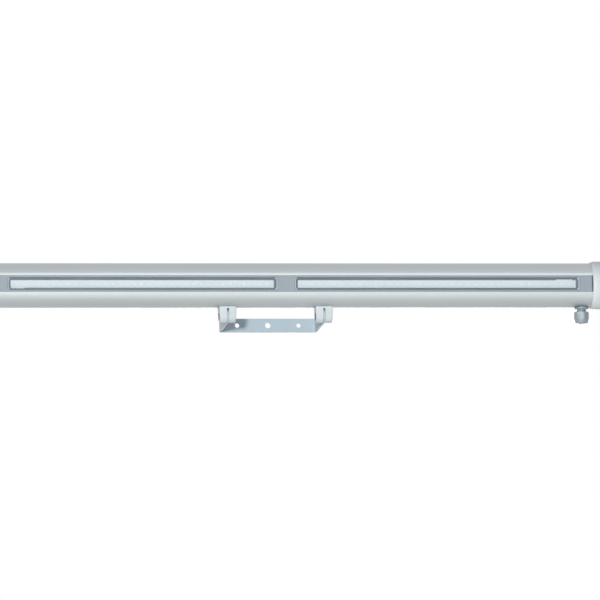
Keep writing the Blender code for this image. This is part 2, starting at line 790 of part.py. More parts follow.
def build_cap_gasket(side, rim, way, axis):
    near = rim + way * (CAP_OVERLAP + GAP)
    far = near + way * CAP_GASKET
    ring = [
        (near, INNER_RADIUS),
        (near, TUBE_RADIUS - GAP),
        (far, TUBE_RADIUS - GAP),
        (far, INNER_RADIUS),
    ]
    piece(f"cap_gasket_{side}", turned_on_x(ring, CAP_GASKET_STEPS), "rubber", axis)


def clamp_side():
    """Side view of a clamp about its pivot: saddle above, round nose below."""
    saddle = asin(CLAMP_RADIUS / (TUBE_RADIUS + GAP))
    centre = (0.0, PIVOT_TO_AXIS)
    top = arc(TUBE_RADIUS + GAP, -pi / 2 - saddle, -pi / 2 + saddle, SADDLE_STEPS, centre)
    nose = arc(CLAMP_RADIUS, 0.0, -pi, NOSE_STEPS)
    return top, nose


def clamp_blank():
    """The tapered block with its end edges rounded."""
    top, nose = clamp_side()
    mesh = prism(top + nose, [], -CLAMP_WIDTH / 2, CLAMP_WIDTH / 2)
    high = PIVOT_TO_AXIS - TUBE_RADIUS
    for vert in mesh.verts:
        drop = (high - vert.co.z) / (high + CLAMP_RADIUS)
        vert.co.x *= 1.0 - (1.0 - CLAMP_BOTTOM_SHARE) * max(0.0, drop)
    bmesh.ops.bevel(
        mesh,
        geom=[e for e in mesh.edges if is_clamp_edge(e)],
        offset=CLAMP_EDGE,
        segments=3,
        profile=0.5,
        affect="EDGES",
    )
    return mesh


def is_clamp_edge(edge):
    """Edges of the two end faces below the saddle, and not those across a face."""
    a, b = edge.verts
    same_end = (a.co.x > 0) == (b.co.x > 0)
    on_border = any(abs(f.normal.x) < 0.5 for f in edge.link_faces)
    below_saddle = min(a.co.z, b.co.z) < PIVOT_TO_AXIS - TUBE_RADIUS - GAP - WELD
    return same_end and on_border and below_saddle


def build_clamp(side, pivot):
    x = EARS[side]
    clamp = piece(f"clamp_{side}", clamp_blank(), "clamp", pivot, (x, 0.0, 0.0))
    slot_half = BAR_THICKNESS / 2 + GAP
    reach = CLAMP_RADIUS + OVERRUN
    slot = box((-slot_half, -reach, -reach), (slot_half, reach, CLAMP_ROOF))
    combine(clamp, helper(f"clamp_slot_{side}", slot, pivot, (x, 0.0, 0.0)), "DIFFERENCE")
    wide = CLAMP_WIDTH / 2 + OVERRUN
    bore = rod_on_x(-wide, wide, PIVOT_RADIUS + GAP)
    combine(clamp, helper(f"clamp_bore_{side}", bore, pivot, (x, 0.0, 0.0)), "DIFFERENCE")
    hexagonal = hexagon(PIVOT_ACROSS_FLATS + 2 * GAP)
    floor = CLAMP_WIDTH / 2 - PIVOT_POCKET
    for way in (-1, 1):
        pocket = prism(hexagonal, [], way * floor, way * wide)
        name = f"clamp_pocket_{side}_{'outer' if way < 0 else 'inner'}"
        combine(clamp, helper(name, pocket, pivot, (x, 0.0, 0.0)), "DIFFERENCE")
    sockets = bmesh.new()
    for place in clamp_screw_places(side):
        add_to(sockets, clamp_socket(), Matrix.Translation((place, 0.0, PIVOT_TO_AXIS)))
    combine(clamp, helper(f"clamp_sockets_{side}", sockets, pivot), "DIFFERENCE")


def clamp_socket():
    """Blind hole for a clamp screw, below the tube axis."""
    radius = CLAMP_SCREW_RADIUS + GAP
    low = TUBE_RADIUS + CLAMP_SCREW_DEPTH + GAP
    outline = [(TUBE_RADIUS - OVERRUN, 0.0), (TUBE_RADIUS - OVERRUN, radius), (low, radius), (low, 0.0)]
    return turned_down(outline, steps=SCREW_STEPS)


def build_clamp_screws(side, axis):
    """Two screws from inside the tube, one into each lug."""
    head_top = FLOOR_FLAT - GAP - CLAMP_SCREW_HEAD_DEPTH
    outline = [
        (head_top, 0.0),
        (head_top, CLAMP_SCREW_HEAD),
        (FLOOR_FLAT - GAP, CLAMP_SCREW_HEAD),
        (FLOOR_FLAT - GAP, CLAMP_SCREW_RADIUS),
        (TUBE_RADIUS + CLAMP_SCREW_DEPTH, CLAMP_SCREW_RADIUS),
        (TUBE_RADIUS + CLAMP_SCREW_DEPTH, 0.0),
    ]
    for number, x in enumerate(clamp_screw_places(side), 1):
        screw = turned_down(outline, SCREW_STEPS)
        piece(f"clamp_screw_{side}_{number}", screw, "steel", axis, (x, 0.0, 0.0))


def build_pivot(side, pivot):
    """One bolt through both lugs and the ear; head and nut sit in hex pockets."""
    x = EARS[side]
    floor = CLAMP_WIDTH / 2 - PIVOT_POCKET
    head_start = -floor - GAP - PIVOT_HEAD
    bolt = piece(
        f"pivot_bolt_{side}",
        prism(hexagon(PIVOT_ACROSS_FLATS), [], head_start, -floor - GAP),
        "steel",
        pivot,
        (x, 0.0, 0.0),
    )
    shaft = rod_on_x(-floor - GAP - PIVOT_HEAD / 2, floor + GAP + PIVOT_NUT + PIVOT_END, PIVOT_RADIUS)
    combine(bolt, helper(f"pivot_shaft_{side}", shaft, pivot, (x, 0.0, 0.0)), "UNION")
    hole = circle(PIVOT_RADIUS + GAP, ROUND_STEPS)
    nut = prism(hexagon(PIVOT_ACROSS_FLATS), [hole], floor + GAP, floor + GAP + PIVOT_NUT)
    piece(f"pivot_nut_{side}", nut, "steel", pivot, (x, 0.0, 0.0))


def bracket_plan():
    """Plan view of the bent bar as a closed (x, y) outline."""
    outer = EAR_SPACING / 2 + BAR_THICKNESS / 2
    inner = outer - BAR_THICKNESS
    tip = -PIVOT_REACH - BAR_WIDTH / 2
    bend = BEND_RADIUS + BAR_THICKNESS
    corner = (outer - bend, -bend)
    turns = [pi / 2 * i / BEND_STEPS for i in range(BEND_STEPS + 1)]
    outside = [(corner[0] + bend * cos(t), corner[1] + bend * sin(t)) for t in turns]
    inside = [
        (corner[0] + BEND_RADIUS * cos(t), corner[1] + BEND_RADIUS * sin(t)) for t in turns
    ]
    right = [(outer, tip), *outside]
    left = [(-x, y) for x, y in right[::-1]]
    back = [(inner, tip), *inside]
    return right + left + [(-x, y) for x, y in back] + back[::-1]


def build_bracket():
    half = BAR_WIDTH / 2
    mesh = bmesh.new()
    face = mesh.faces.new([mesh.verts.new((x, y, -half)) for x, y in bracket_plan()])
    grown = bmesh.ops.extrude_face_region(mesh, geom=[face])["geom"]
    grown = [item for item in grown if isinstance(item, bmesh.types.BMVert)]
    bmesh.ops.translate(mesh, verts=grown, vec=(0.0, 0.0, BAR_WIDTH))
    bmesh.ops.recalc_face_normals(mesh, faces=mesh.faces)
    bracket = piece("u_bracket", mesh, "bracket", None)
    combine(bracket, helper("ear_ends", ear_end_shape(), None), "INTERSECT")
    wide = EAR_SPACING / 2 + BAR_THICKNESS + OVERRUN
    bores = rod_on_x(-wide, wide, PIVOT_RADIUS + GAP, (-PIVOT_REACH, 0.0))
    combine(bracket, helper("ear_bores", bores, None), "DIFFERENCE")
    holes = bmesh.new()
    for x, radius in (
        (-BASE_HOLE_SPACING, BASE_END_HOLE),
        (0.0, BASE_HOLE),
        (BASE_HOLE_SPACING, BASE_END_HOLE),
    ):
        hole = rod_on_x(-BAR_THICKNESS - OVERRUN, OVERRUN, radius)
        add_to(holes, hole, Matrix.Translation((x, 0.0, 0.0)) @ Matrix.Rotation(pi / 2, 4, "Z"))
    combine(bracket, helper("base_holes", holes, None), "DIFFERENCE")


def ear_end_shape():
    """Side view of the bracket: straight bar, round end about the pivot."""
    half = BAR_WIDTH / 2
    past = half + OVERRUN
    front = arc(half, -pi / 2, pi / 2, NOSE_STEPS, (-PIVOT_REACH, 0.0))
    outline = front + [(-half, past), (OVERRUN, past), (OVERRUN, -past), (-half, -past)]
    wide = EAR_SPACING / 2 + BAR_THICKNESS + OVERRUN
    return prism(outline, [], -wide, wide)


def gland_depths():
    """Distances below the tube axis at which the gland's pieces begin and end."""
    flange = TUBE_RADIUS + GLAND_FLANGE_BELOW
    nut = flange + NUT_TOP_GAP
    hex_end = nut + NUT_HEX_LENGTH
    end = hex_end + NUT_DOME_LENGTH
    return flange, nut, hex_end, end


def tube_saddle(radius):
    """A long round bar about the tube axis, at the gland."""
    reach = GLAND_FLANGE + OVERRUN
    return rod_on_x(-reach, reach, radius, steps=round(2 * pi / TUBE_STEP))


def build_gland(gland):
    flange, nut, hex_end, end = gland_depths()
    gasket_in = TUBE_RADIUS + GAP
    gasket_out = gasket_in + GLAND_GASKET
    ring = turned_down(
        [
            (FLOOR_FLAT, GLAND_SHANK + GAP),
            (FLOOR_FLAT, GLAND_GASKET_RADIUS),
            (gasket_out + OVERRUN, GLAND_GASKET_RADIUS),
            (gasket_out + OVERRUN, GLAND_SHANK + GAP),
        ]
    )
    gasket = piece("gland_gasket", ring, "rubber", gland)
    combine(gasket, helper("gasket_outside", tube_saddle(gasket_out), gland), "INTERSECT")
    combine(gasket, helper("gasket_inside", tube_saddle(gasket_in), gland), "DIFFERENCE")
    build_gland_body(gland, flange, gasket_out + GAP)
    build_locknut(gland)
    build_gland_nut(gland, nut, hex_end, end)
    seal_end = end - NUT_FLOOR - GAP
    ring = [
        (seal_end - SEAL_RING_LENGTH, SEAL_RING_BORE),
        (seal_end - SEAL_RING_LENGTH, GLAND_SEAT_RADIUS - GAP),
        (seal_end, GLAND_SEAT_RADIUS - GAP),
        (seal_end, SEAL_RING_BORE),
    ]
    piece("gland_seal", turned_down(ring), "rubber", gland)


def build_gland_body(gland, flange, saddle):
    """Saddle flange, shank through the tube wall and threaded neck, with one bore."""
    shank_top = FLOOR_FLAT - GLAND_SHANK_INSIDE
    neck_end = flange + GLAND_NECK_LENGTH
    body = turned_down(
        [
            (shank_top, GLAND_BORE),
            (shank_top, GLAND_SHANK),
            (neck_end, GLAND_SHANK),
            (neck_end, GLAND_BORE),
        ]
    )
    body = piece("gland_body", body, "gland", gland)
    collar = turned_down(
        [
            (FLOOR_FLAT, GLAND_BORE),
            (FLOOR_FLAT, GLAND_FLANGE),
            (flange, GLAND_FLANGE),
            (flange, GLAND_BORE),
        ]
    )
    collar = helper("gland_collar", collar, gland)
    combine(collar, helper("collar_saddle", tube_saddle(saddle), gland), "DIFFERENCE")
    combine(body, collar, "UNION")
    waist = turned_down(
        [
            (flange, GLAND_NECK),
            (flange, GLAND_SHANK + OVERRUN),
            (neck_end + OVERRUN, GLAND_SHANK + OVERRUN),
            (neck_end + OVERRUN, GLAND_NECK),
        ]
    )
    combine(body, helper("neck_waist", waist, gland), "DIFFERENCE")
    seat = turned_down(
        [
            (neck_end - GLAND_SEAT_DEPTH, 0.0),
            (neck_end - GLAND_SEAT_DEPTH, GLAND_SEAT_RADIUS),
            (neck_end + OVERRUN, GLAND_SEAT_RADIUS),
            (neck_end + OVERRUN, 0.0),
        ]
    )
    combine(body, helper("seal_seat", seat, gland), "DIFFERENCE")


def build_locknut(gland):
    """Hex nut on the shank, flat on the housing's thick floor."""
    hole = circle(GLAND_SHANK + GAP, ROUND_STEPS)
    mesh = prism(
        hexagon(LOCKNUT_ACROSS_FLATS, pi / 6), [hole], 0.0, LOCKNUT_THICKNESS
    )
    low = FLOOR_FLAT - GAP
    mesh.transform(Matrix.Translation((0.0, 0.0, -low)) @ Matrix.Rotation(-pi / 2, 4, "Y"))
    piece("gland_locknut", mesh, "gland", gland)


def build_gland_nut(gland, top, hex_end, end):
    """A hex nut with a domed mouth: a turned shape cut by a hex bar."""
    across = NUT_ACROSS_FLATS / 2
    corner = across / cos(pi / 6) * NUT_CORNER_SHARE
    bore = GLAND_NECK + GAP
    floor = end - NUT_FLOOR
    outline = [(top, bore), (top, across), (top + corner - across, corner), (hex_end, corner)]
    for i in range(1, CORNER_STEPS + 1):
        angle = pi / 2 * i / CORNER_STEPS
        down = hex_end + (end - hex_end) * sin(angle)
        outline.append((down, NUT_DOME_END + (across - NUT_DOME_END) * cos(angle)))
    outline += [(end, GLAND_BORE), (floor, GLAND_BORE), (floor, bore)]
    nut = piece("gland_dome_nut", turned_down(outline), "gland", gland)
    bar = prism(hexagon(NUT_ACROSS_FLATS, NUT_TURN), [], -end - OVERRUN, -top + OVERRUN)
    bar.transform(Matrix.Rotation(-pi / 2, 4, "Y"))
    combine(nut, helper("nut_hex", bar, gland), "INTERSECT")


def main():
    clear_scene()
    pivot = empty("lamp_pivot", (0.0, -PIVOT_REACH, 0.0), tilt=LAMP_TILT)
    axis = empty("tube_axis", (0.0, 0.0, PIVOT_TO_AXIS), pivot)
    gland = empty("gland_axis", (GLAND_X, 0.0, 0.0), axis)
    build_housing(axis)
    build_strip(axis)
    build_plugs(axis)
    build_window_stack(axis)
    build_tray(axis)
    build_boards(axis)
    build_driver(axis)
    build_terminal(axis)
    build_caps(axis)
    for side in EARS:
        build_clamp(side, pivot)
        build_clamp_screws(side, axis)
        build_pivot(side, pivot)
    build_bracket()
    build_gland(gland)


main()
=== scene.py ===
# %% [markdown]
# # A tubular flood light, dressed in Blender
#
# The real light is one long aluminium extrusion with two LED windows in a flat front strip.
# It hangs on two slotted clamps that turn on the ears of a bent flat bar.
# The engineering model is already packed, so this lesson loads it as a fixed frame.
# Every visible piece is then built round that frame, with finer edges and real finishes.

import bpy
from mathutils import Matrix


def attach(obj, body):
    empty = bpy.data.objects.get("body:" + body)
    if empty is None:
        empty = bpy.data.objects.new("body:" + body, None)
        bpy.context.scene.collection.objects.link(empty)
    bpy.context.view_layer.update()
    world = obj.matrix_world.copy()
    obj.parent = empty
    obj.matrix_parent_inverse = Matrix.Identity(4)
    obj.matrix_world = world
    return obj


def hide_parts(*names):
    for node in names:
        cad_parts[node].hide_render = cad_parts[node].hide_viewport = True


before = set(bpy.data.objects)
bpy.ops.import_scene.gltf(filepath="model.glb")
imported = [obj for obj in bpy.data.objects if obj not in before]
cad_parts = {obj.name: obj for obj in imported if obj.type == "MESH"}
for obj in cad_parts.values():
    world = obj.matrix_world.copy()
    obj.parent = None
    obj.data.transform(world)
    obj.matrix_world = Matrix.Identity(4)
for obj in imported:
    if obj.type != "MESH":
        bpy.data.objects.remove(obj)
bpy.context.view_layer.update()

# %% [markdown]
# ## Two places to build from
#
# The lamp leans five degrees forward on its pivots, so nothing on it lies square to the room.
# Building each piece in tilted coordinates would be hard to read.
# One matrix for the tube's own axis solves that: a piece is built straight and placed once.

# %% Places of the tube, the pivots and the gland
from math import acos, asin, atan2, cos, pi, radians, sin, sqrt

import bmesh
import bpy
from mathutils import Matrix, Vector

MM = 0.001
PIVOT = Matrix.Translation((0.0, -93.5 * MM, 0.0)) @ Matrix.Rotation(radians(5.0), 4, "X")
TUBE = PIVOT @ Matrix.Translation((0.0, 0.0, 55.5 * MM))
ROOM = Matrix.Identity(4)
GLAND_X = 558.2 * MM
GLAND = TUBE @ Matrix.Translation((GLAND_X, 0.0, 0.0))
TUBE_START = -537.0 * MM
TUBE_END = 598.0 * MM
WINDOWS = {"left": (-489.5 * MM, 0.5 * MM), "right": (30.5 * MM, 550.5 * MM)}
EARS = {"left": -87.5 * MM, "right": 87.5 * MM}
print("tube axis at", [round(v, 4) for v in TUBE.translation])

# %% [markdown]
# ## Outlines into solids
#
# Almost everything here is either an outline pushed along the tube or one spun round an axis.
# Both could be drawn by hand with the Spin and Extrude tools.
# Small functions do it from points instead, so a fillet is only a longer list of points.
# They also join the points in a fixed order, which gives the same mesh at every run.

# %% Extrude an outline along the tube
def face_on(mesh, loops):
    """Fills one flat outline and its holes with triangles."""
    edges = []
    for loop in loops:
        edges += [mesh.edges.new(pair) for pair in zip(loop, loop[1:] + loop[:1])]
    bmesh.ops.triangle_fill(mesh, edges=edges, use_beauty=True)


def between(mesh, near, far):
    """Joins two loops with a band of faces, or with a fan where one loop is a single point."""
    count = max(len(near), len(far))
    for i in range(count):
        j = (i + 1) % count
        corners = (near[i % len(near)], near[j % len(near)], far[j % len(far)], far[i % len(far)])
        mesh.faces.new(list(dict.fromkeys(corners)))


def stacked(layers):
    """A solid from layers; each layer is a list of loops of points, the first the outline."""
    mesh = bmesh.new()
    rows = [[[mesh.verts.new(p) for p in loop] for loop in layer] for layer in layers]
    face_on(mesh, rows[0])
    face_on(mesh, rows[-1])
    for lower, upper in zip(rows, rows[1:]):
        for near, far in zip(lower, upper):
            between(mesh, near, far)
    bmesh.ops.recalc_face_normals(mesh, faces=mesh.faces)
    return mesh


def extruded(outline, start, end):
    """Pushes a (y, z) outline along X."""
    return stacked([[[(x, y, z) for y, z in outline]] for x in (start, end)])


def round_points(radius, start, end, steps, centre=(0.0, 0.0)):
    """Points on an arc; angle 0 is the front of the lamp, a quarter turn its top."""
    turn = (end - start) / steps
    angles = [start + turn * i for i in range(steps + 1)]
    return [(centre[0] - radius * cos(a), centre[1] + radius * sin(a)) for a in angles]


def circle(radius, steps):
    return round_points(radius, 0.0, 2 * pi, steps)[:-1]


print("extrusion tools ready")

# %% Spin an outline round an axis
SIDE_SHARE = 0.45
NEARLY_STRAIGHT = radians(89.0)
ON_AXIS = MM / 1000


def filleted(points, radii, steps=4):
    """Rounds each corner of an open outline, within a share of the sides that meet there."""
    out = [Vector(points[0])]
    for before, at, after, r in zip(points, points[1:], points[2:], radii[1:]):
        a, p, b = Vector(before), Vector(at), Vector(after)
        to_a, to_b = (a - p), (b - p)
        half = to_a.angle(to_b) / 2
        if r <= 0.0 or half > NEARLY_STRAIGHT:
            out.append(p)
            continue
        wanted = r / max(sin(half), 0.05) * cos(half)
        reach = min(wanted, to_a.length * SIDE_SHARE, to_b.length * SIDE_SHARE)
        first, last = p + to_a.normalized() * reach, p + to_b.normalized() * reach
        for i in range(steps + 1):
            t = i / steps
            out.append(first * (1 - t) ** 2 + p * 2 * t * (1 - t) + last * t**2)
    out.append(Vector(points[-1]))
    return [tuple(p) for p in out]


def around(radius, steps):
    """The angles of one ring, or a single one where the outline touches the axis."""
    return [2 * pi * k / steps for k in range(steps if radius > ON_AXIS else 1)]


def turned(rings):
    """Closes rings of points into a solid; the Spin tool would list its faces in any order."""
    mesh = bmesh.new()
    rows = [[mesh.verts.new(p) for p in ring] for ring in rings]
    for near, far in zip(rows, rows[1:] + rows[:1]):
        if len(near) > 1 or len(far) > 1:
            between(mesh, near, far)
    bmesh.ops.recalc_face_normals(mesh, faces=mesh.faces)
    return mesh


def turned_on_x(outline, steps):
    """Outline of (distance along X, radius)."""
    return turned([[(x, -r * sin(a), r * cos(a)) for a in around(r, steps)] for x, r in outline])


def turned_down(outline, steps=56):
    """Outline of (distance below the tube axis, radius)."""
    return turned([[(r * cos(a), r * sin(a), -d) for a in around(r, steps)] for d, r in outline])


print("turning tools ready")

# %% [markdown]
# ## Joining solids and putting them in place
#
# Holes and pockets are cut with Boolean modifiers, and a Bevel modifier breaks every sharp edge.
# A broken edge catches a thin line of light, which is what makes metal look like metal.
# Each finished piece rides on its body, so that it follows when the lamp is tilted.

# %% Place a finished piece
SHARP = radians(32.0)


def add_to(mesh, other, place=ROOM):
    """Adds another solid to a mesh."""
    other.transform(place)
    data = bpy.data.meshes.new("part")
    other.to_mesh(data)
    other.free()
    mesh.from_mesh(data)
    bpy.data.meshes.remove(data)


def as_object(name, mesh, place):
    """Turns a mesh under construction into an object, standing at its place."""
    data = bpy.data.meshes.new(name)
    mesh.to_mesh(data)
    mesh.free()
    piece = bpy.data.objects.new(name, data)
    bpy.context.scene.collection.objects.link(piece)
    piece.matrix_world = place
    return piece


def carve(piece, tool_mesh, operation="DIFFERENCE"):
    """Cuts, joins or keeps with another solid and bakes the result into the piece."""
    tool = as_object("tool", tool_mesh, piece.matrix_world)
    step = piece.modifiers.new("carve", "BOOLEAN")
    step.operation = operation
    step.object = tool
    bpy.context.view_layer.update()
    shaped = piece.evaluated_get(bpy.context.evaluated_depsgraph_get())
    data = bpy.data.meshes.new_from_object(shaped)
    piece.modifiers.clear()
    old, piece.data = piece.data, data
    data.name = piece.name
    bpy.data.meshes.remove(old)
    bpy.data.objects.remove(tool, do_unlink=True)


def bmesh_of(piece):
    """Takes an object's mesh back for use as a cutter, and removes the object."""
    mesh = bmesh.new()
    mesh.from_mesh(piece.data)
    bpy.data.objects.remove(piece, do_unlink=True)
    return mesh


def finish(piece, material, body, stands_for=(), edge=0.0):
    """Smooths, softens, paints and mounts a piece on its body."""
    piece.data.transform(piece.matrix_world)
    piece.matrix_world = ROOM
    for each in material if isinstance(material, (list, tuple)) else [material]:
        piece.data.materials.append(each)
    piece.data.shade_smooth()
    piece.data.set_sharp_from_angle(angle=SHARP)
    if edge:
        soften = piece.modifiers.new("soft edges", "BEVEL")
        soften.width = edge
        soften.segments = 2
        soften.limit_method = "ANGLE"
        soften.angle_limit = SHARP
        soften.harden_normals = True
    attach(piece, body)
    if stands_for:
        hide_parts(*stands_for)
    return piece


print("placing tools ready")

# %% [markdown]
# ## Shader maths as plain sums
#
# A procedural finish is mostly arithmetic on a few noise patterns.
# Wiring a Math node for each plus and times hides the idea, so one small class does it.
# It wraps a socket, and Python's own operators add the nodes behind it.

# %% A socket that can be added and multiplied
class Wire:
    """One output socket; sums and products on it become Math nodes."""

    def __init__(self, nodes, socket):
        self.nodes = nodes
        self.socket = socket

    def _maths(self, operation, *values):
        settings = {"operation": operation}
        return self.nodes.node("ShaderNodeMath", settings, dict(enumerate(values)))

    def __add__(self, other):
        return self._maths("ADD", self, other)

    def __sub__(self, other):
        return self._maths("SUBTRACT", self, other)

    def __rsub__(self, other):
        return self._maths("SUBTRACT", other, self)

    def __mul__(self, other):
        return self._maths("MULTIPLY", self, other)

    def __truediv__(self, other):
        return self._maths("DIVIDE", self, other)

    def __rtruediv__(self, other):
        return self._maths("DIVIDE", other, self)

    __radd__ = __add__
    __rmul__ = __mul__


print("sums of sockets ready")

# %% A finish made of nodes
class Nodes:
    """A node tree, of a material or of the world."""

    def __init__(self, tree):
        self.tree = tree

    def node(self, kind, settings=None, sockets=None, output=0):
        """Any node: its settings first, then the values and links of its sockets."""
        made = self.tree.nodes.new(kind)
        for key, value in (settings or {}).items():
            if key == "stops":
                ramp = made.color_ramp.elements
                for element, (at, level) in zip(ramp, value):
                    element.position = at
                    element.color = (level, level, level, 1.0)
            else:
                setattr(made, key, value)
        for key, value in (sockets or {}).items():
            if isinstance(value, Wire):
                self.tree.links.new(value.socket, made.inputs[key])
            else:
                made.inputs[key].default_value = value
        return Wire(self, made.outputs[output])


class Paint(Nodes):
    """A material with a Principled shader and a few ways to vary it."""

    def __init__(self, name, colour, roughness, metallic=0.0):
        self.material = bpy.data.materials.new(name)
        self.material.use_nodes = True
        super().__init__(self.material.node_tree)
        self.shader = self.tree.nodes["Principled BSDF"]
        self.shader.inputs["Base Color"].default_value = (*colour, 1.0)
        self.shader.inputs["Roughness"].default_value = roughness
        self.shader.inputs["Metallic"].default_value = metallic

    def place(self, stretch=(1.0, 1.0, 1.0)):
        """Object coordinates in metres, stretched along the piece's own axes."""
        spot = self.node("ShaderNodeTexCoord", output="Object")
        return self.node("ShaderNodeVectorMath", {"operation": "MULTIPLY"}, {0: spot, 1: stretch})

    def noise(self, scale, detail=3.0, stretch=(1.0, 1.0, 1.0), roughness=0.5):
        sockets = {"Vector": self.place(stretch), "Scale": scale, "Detail": detail}
        sockets["Roughness"] = roughness
        return self.node("ShaderNodeTexNoise", {"noise_dimensions": "3D"}, sockets)

    def mask(self, value, low, high):
        """0 below low and 1 above high."""
        return self.node("ShaderNodeValToRGB", {"stops": ((low, 0.0), (high, 1.0))}, {0: value})

    def tint(self, amount, first, second):
        """A blend of two colours; each may be a colour or another tint."""
        colours = [c if isinstance(c, Wire) else (*c, 1.0) for c in (first, second)]
        sockets = {"Factor": amount, 6: colours[0], 7: colours[1]}
        return self.node("ShaderNodeMix", {"data_type": "RGBA"}, sockets, output=2)

    def vary(self, socket, wire):
        self.tree.links.new(wire.socket, self.shader.inputs[socket])

    def bump(self, height, distance, strength=1.0):
        sockets = {"Height": height, "Distance": distance, "Strength": strength}
        self.vary("Normal", self.node("ShaderNodeBump", {}, sockets))


print("node and paint classes ready")

# %% [markdown]
# ## Anodised aluminium
#
# The housing is an extrusion: the die leaves very fine lines that all run along the tube.
# Etching and anodising make it satin, so reflections are wide and soft.
# A noise that is squeezed across the tube and stretched along it gives both.

# %% Anodised extrusion finish
def anodised_finish():
    paint = Paint("anodised_extrusion", (0.49, 0.52, 0.53), 0.62, 0.85)
    lines = paint.noise(900.0, 4.0, (0.004, 1.0, 1.0), 0.6)
    clouds = paint.noise(9.0, 2.0, (0.5, 1.0, 1.0))
    colour = paint.tint(lines * 0.5 + clouds * 0.5, (0.435, 0.47, 0.48), (0.495, 0.53, 0.54))
    paint.vary("Base Color", colour)
    paint.vary("Roughness", 0.44 + lines * 0.1 + clouds * 0.05)
    paint.bump(lines, 0.02 * MM, 0.35)
    return paint.material


ANODISED = anodised_finish()
print(ANODISED.name)

# %% [markdown]
# ## Powder coat and moulded plastic
#
# The strip and the bracket are coated: powder melts into a skin with a faint orange-peel ripple.
# The caps, clamps and gland are moulded, with the fine grain of a spark-eroded tool.
# Both are small ripples in the normal, and only their scale and depth differ.
# Painted shade darkens the pockets round the bolts.
# It is painted by distance from the bolt's axis, so both clamps have it.

# %% Coated and moulded finishes
def coated_finish(name, colour, roughness):
    """Powder coat with orange peel and a slight change of shade."""
    paint = Paint(name, colour, roughness)
    peel = paint.noise(420.0, 2.0)
    clouds = paint.noise(14.0, 3.0)
    lighter, darker = [c * 1.05 for c in colour], [c * 0.95 for c in colour]
    paint.vary("Base Color", paint.tint(clouds, darker, lighter))
    paint.vary("Roughness", roughness - 0.05 + clouds * 0.1)
    paint.bump(peel, 0.06 * MM, 0.5)
    return paint.material


def moulded_paint(name, colour, roughness, grain=1500.0, depth=0.03):
    """Paint with a spark-eroded grain, that grain, and the colour with faint flow marks."""
    paint = Paint(name, colour, roughness)
    fine = paint.noise(grain, 2.0)
    flow = paint.noise(22.0, 3.0, (0.6, 1.0, 1.0))
    lighter, darker = [c * 1.03 for c in colour], [c * 0.96 for c in colour]
    paint.bump(fine, depth * MM, 0.5)
    return paint, fine, paint.tint(flow, darker, lighter)


def moulded_finish(name, colour, roughness, *texture):
    """Moulded plastic, clean all over."""
    paint, fine, marked = moulded_paint(name, colour, roughness, *texture)
    paint.vary("Base Color", marked)
    paint.vary("Roughness", roughness - 0.06 + fine * 0.12)
    return paint.material


# The painted shade in the bolt pockets fades out between these distances from the pivot axis.
POCKET_SHADE_FADES = (7.0 * MM, 7.6 * MM)
POCKET_SHADE_SCALE = 10.0 * MM


def clamp_finish(clean, pocket_shade):
    """Moulded plastic with painted shade close to the pivot axis, in the bolt pockets."""
    paint, fine, marked = moulded_paint("clamp_plastic", clean, 0.48)
    spots = {0: paint.place((0.0, 1.0, 1.0)), 1: PIVOT.translation}
    reach = paint.node("ShaderNodeVectorMath", {"operation": "DISTANCE"}, spots, output="Value")
    near, far = (distance / POCKET_SHADE_SCALE for distance in POCKET_SHADE_FADES)
    outside = paint.mask((reach + fine * (0.4 * MM)) / POCKET_SHADE_SCALE, near, far)
    paint.vary("Base Color", paint.tint(outside, pocket_shade, marked))
    paint.vary("Roughness", 0.3 + outside * 0.12 + fine * 0.12)
    return paint.material


STRIP_COAT = coated_finish("strip_coat", (0.3, 0.35, 0.4), 0.42)
BRACKET_COAT = coated_finish("bracket_coat", (0.44, 0.54, 0.61), 0.4)
CAP_PLASTIC = moulded_finish("cap_plastic", (0.68, 0.735, 0.755), 0.55)
# The second colour is the painted shade of the bolt pockets.
CLAMP_PLASTIC = clamp_finish((0.585, 0.645, 0.665), (0.05, 0.05, 0.045))
GLAND_PLASTIC = moulded_finish("gland_plastic", (0.29, 0.35, 0.39), 0.42)
DRIVER_PLASTIC = moulded_finish("driver_plastic", (0.03, 0.032, 0.035), 0.5)
TERMINAL_PLASTIC = moulded_finish("terminal_plastic", (0.66, 0.66, 0.6), 0.45)
LIVE_SLEEVE = moulded_finish("live_sleeve", (0.13, 0.045, 0.015), 0.4, 900.0, 0.01)
NEUTRAL_SLEEVE = moulded_finish("neutral_sleeve", (0.02, 0.08, 0.28), 0.4, 900.0, 0.01)
print("coated and moulded finishes made")

# %% [markdown]
# ## Rubber, steel and sheet metal
#
# Seals are black or grey rubber that looks almost dry, with a little dust in the pores.
# Screws are zinc plated and uneven in shade; the two pivot bolts are darker, oiled steel.
# The tray inside is sheet whose rolling lines run lengthwise, painted dark as shade for the recess
# beside the boards.

# %% Rubber, zinc and dark sheet
def rubber_finish(name, colour):
    paint = Paint(name, colour, 0.75)
    dust = paint.mask(paint.noise(260.0, 4.0), 0.5, 0.75)
    darker, dusty = [c * 0.8 for c in colour], [c * 0.9 + 0.04 for c in colour]
    paint.vary("Base Color", paint.tint(dust, darker, dusty))
    paint.vary("Roughness", 0.68 + dust * 0.2)
    paint.bump(paint.noise(1400.0, 2.0), 0.03 * MM, 0.5)
    return paint.material


def steel_finish(name, darker, lighter, roughness, metallic):
    """Plated or oiled steel with a fine crystal pattern and a cloudy haze."""
    paint = Paint(name, lighter, roughness, metallic)
    patches = paint.node(
        "ShaderNodeTexVoronoi", {"feature": "F1"}, {"Vector": paint.place(), "Scale": 700.0}
    )
    haze = paint.noise(160.0, 4.0)
    paint.vary("Base Color", paint.tint(haze, darker, lighter))
    paint.vary("Roughness", roughness - 0.08 + patches * 0.18 + haze * 0.08)
    paint.bump(haze, 0.02 * MM, 0.4)
    return paint.material
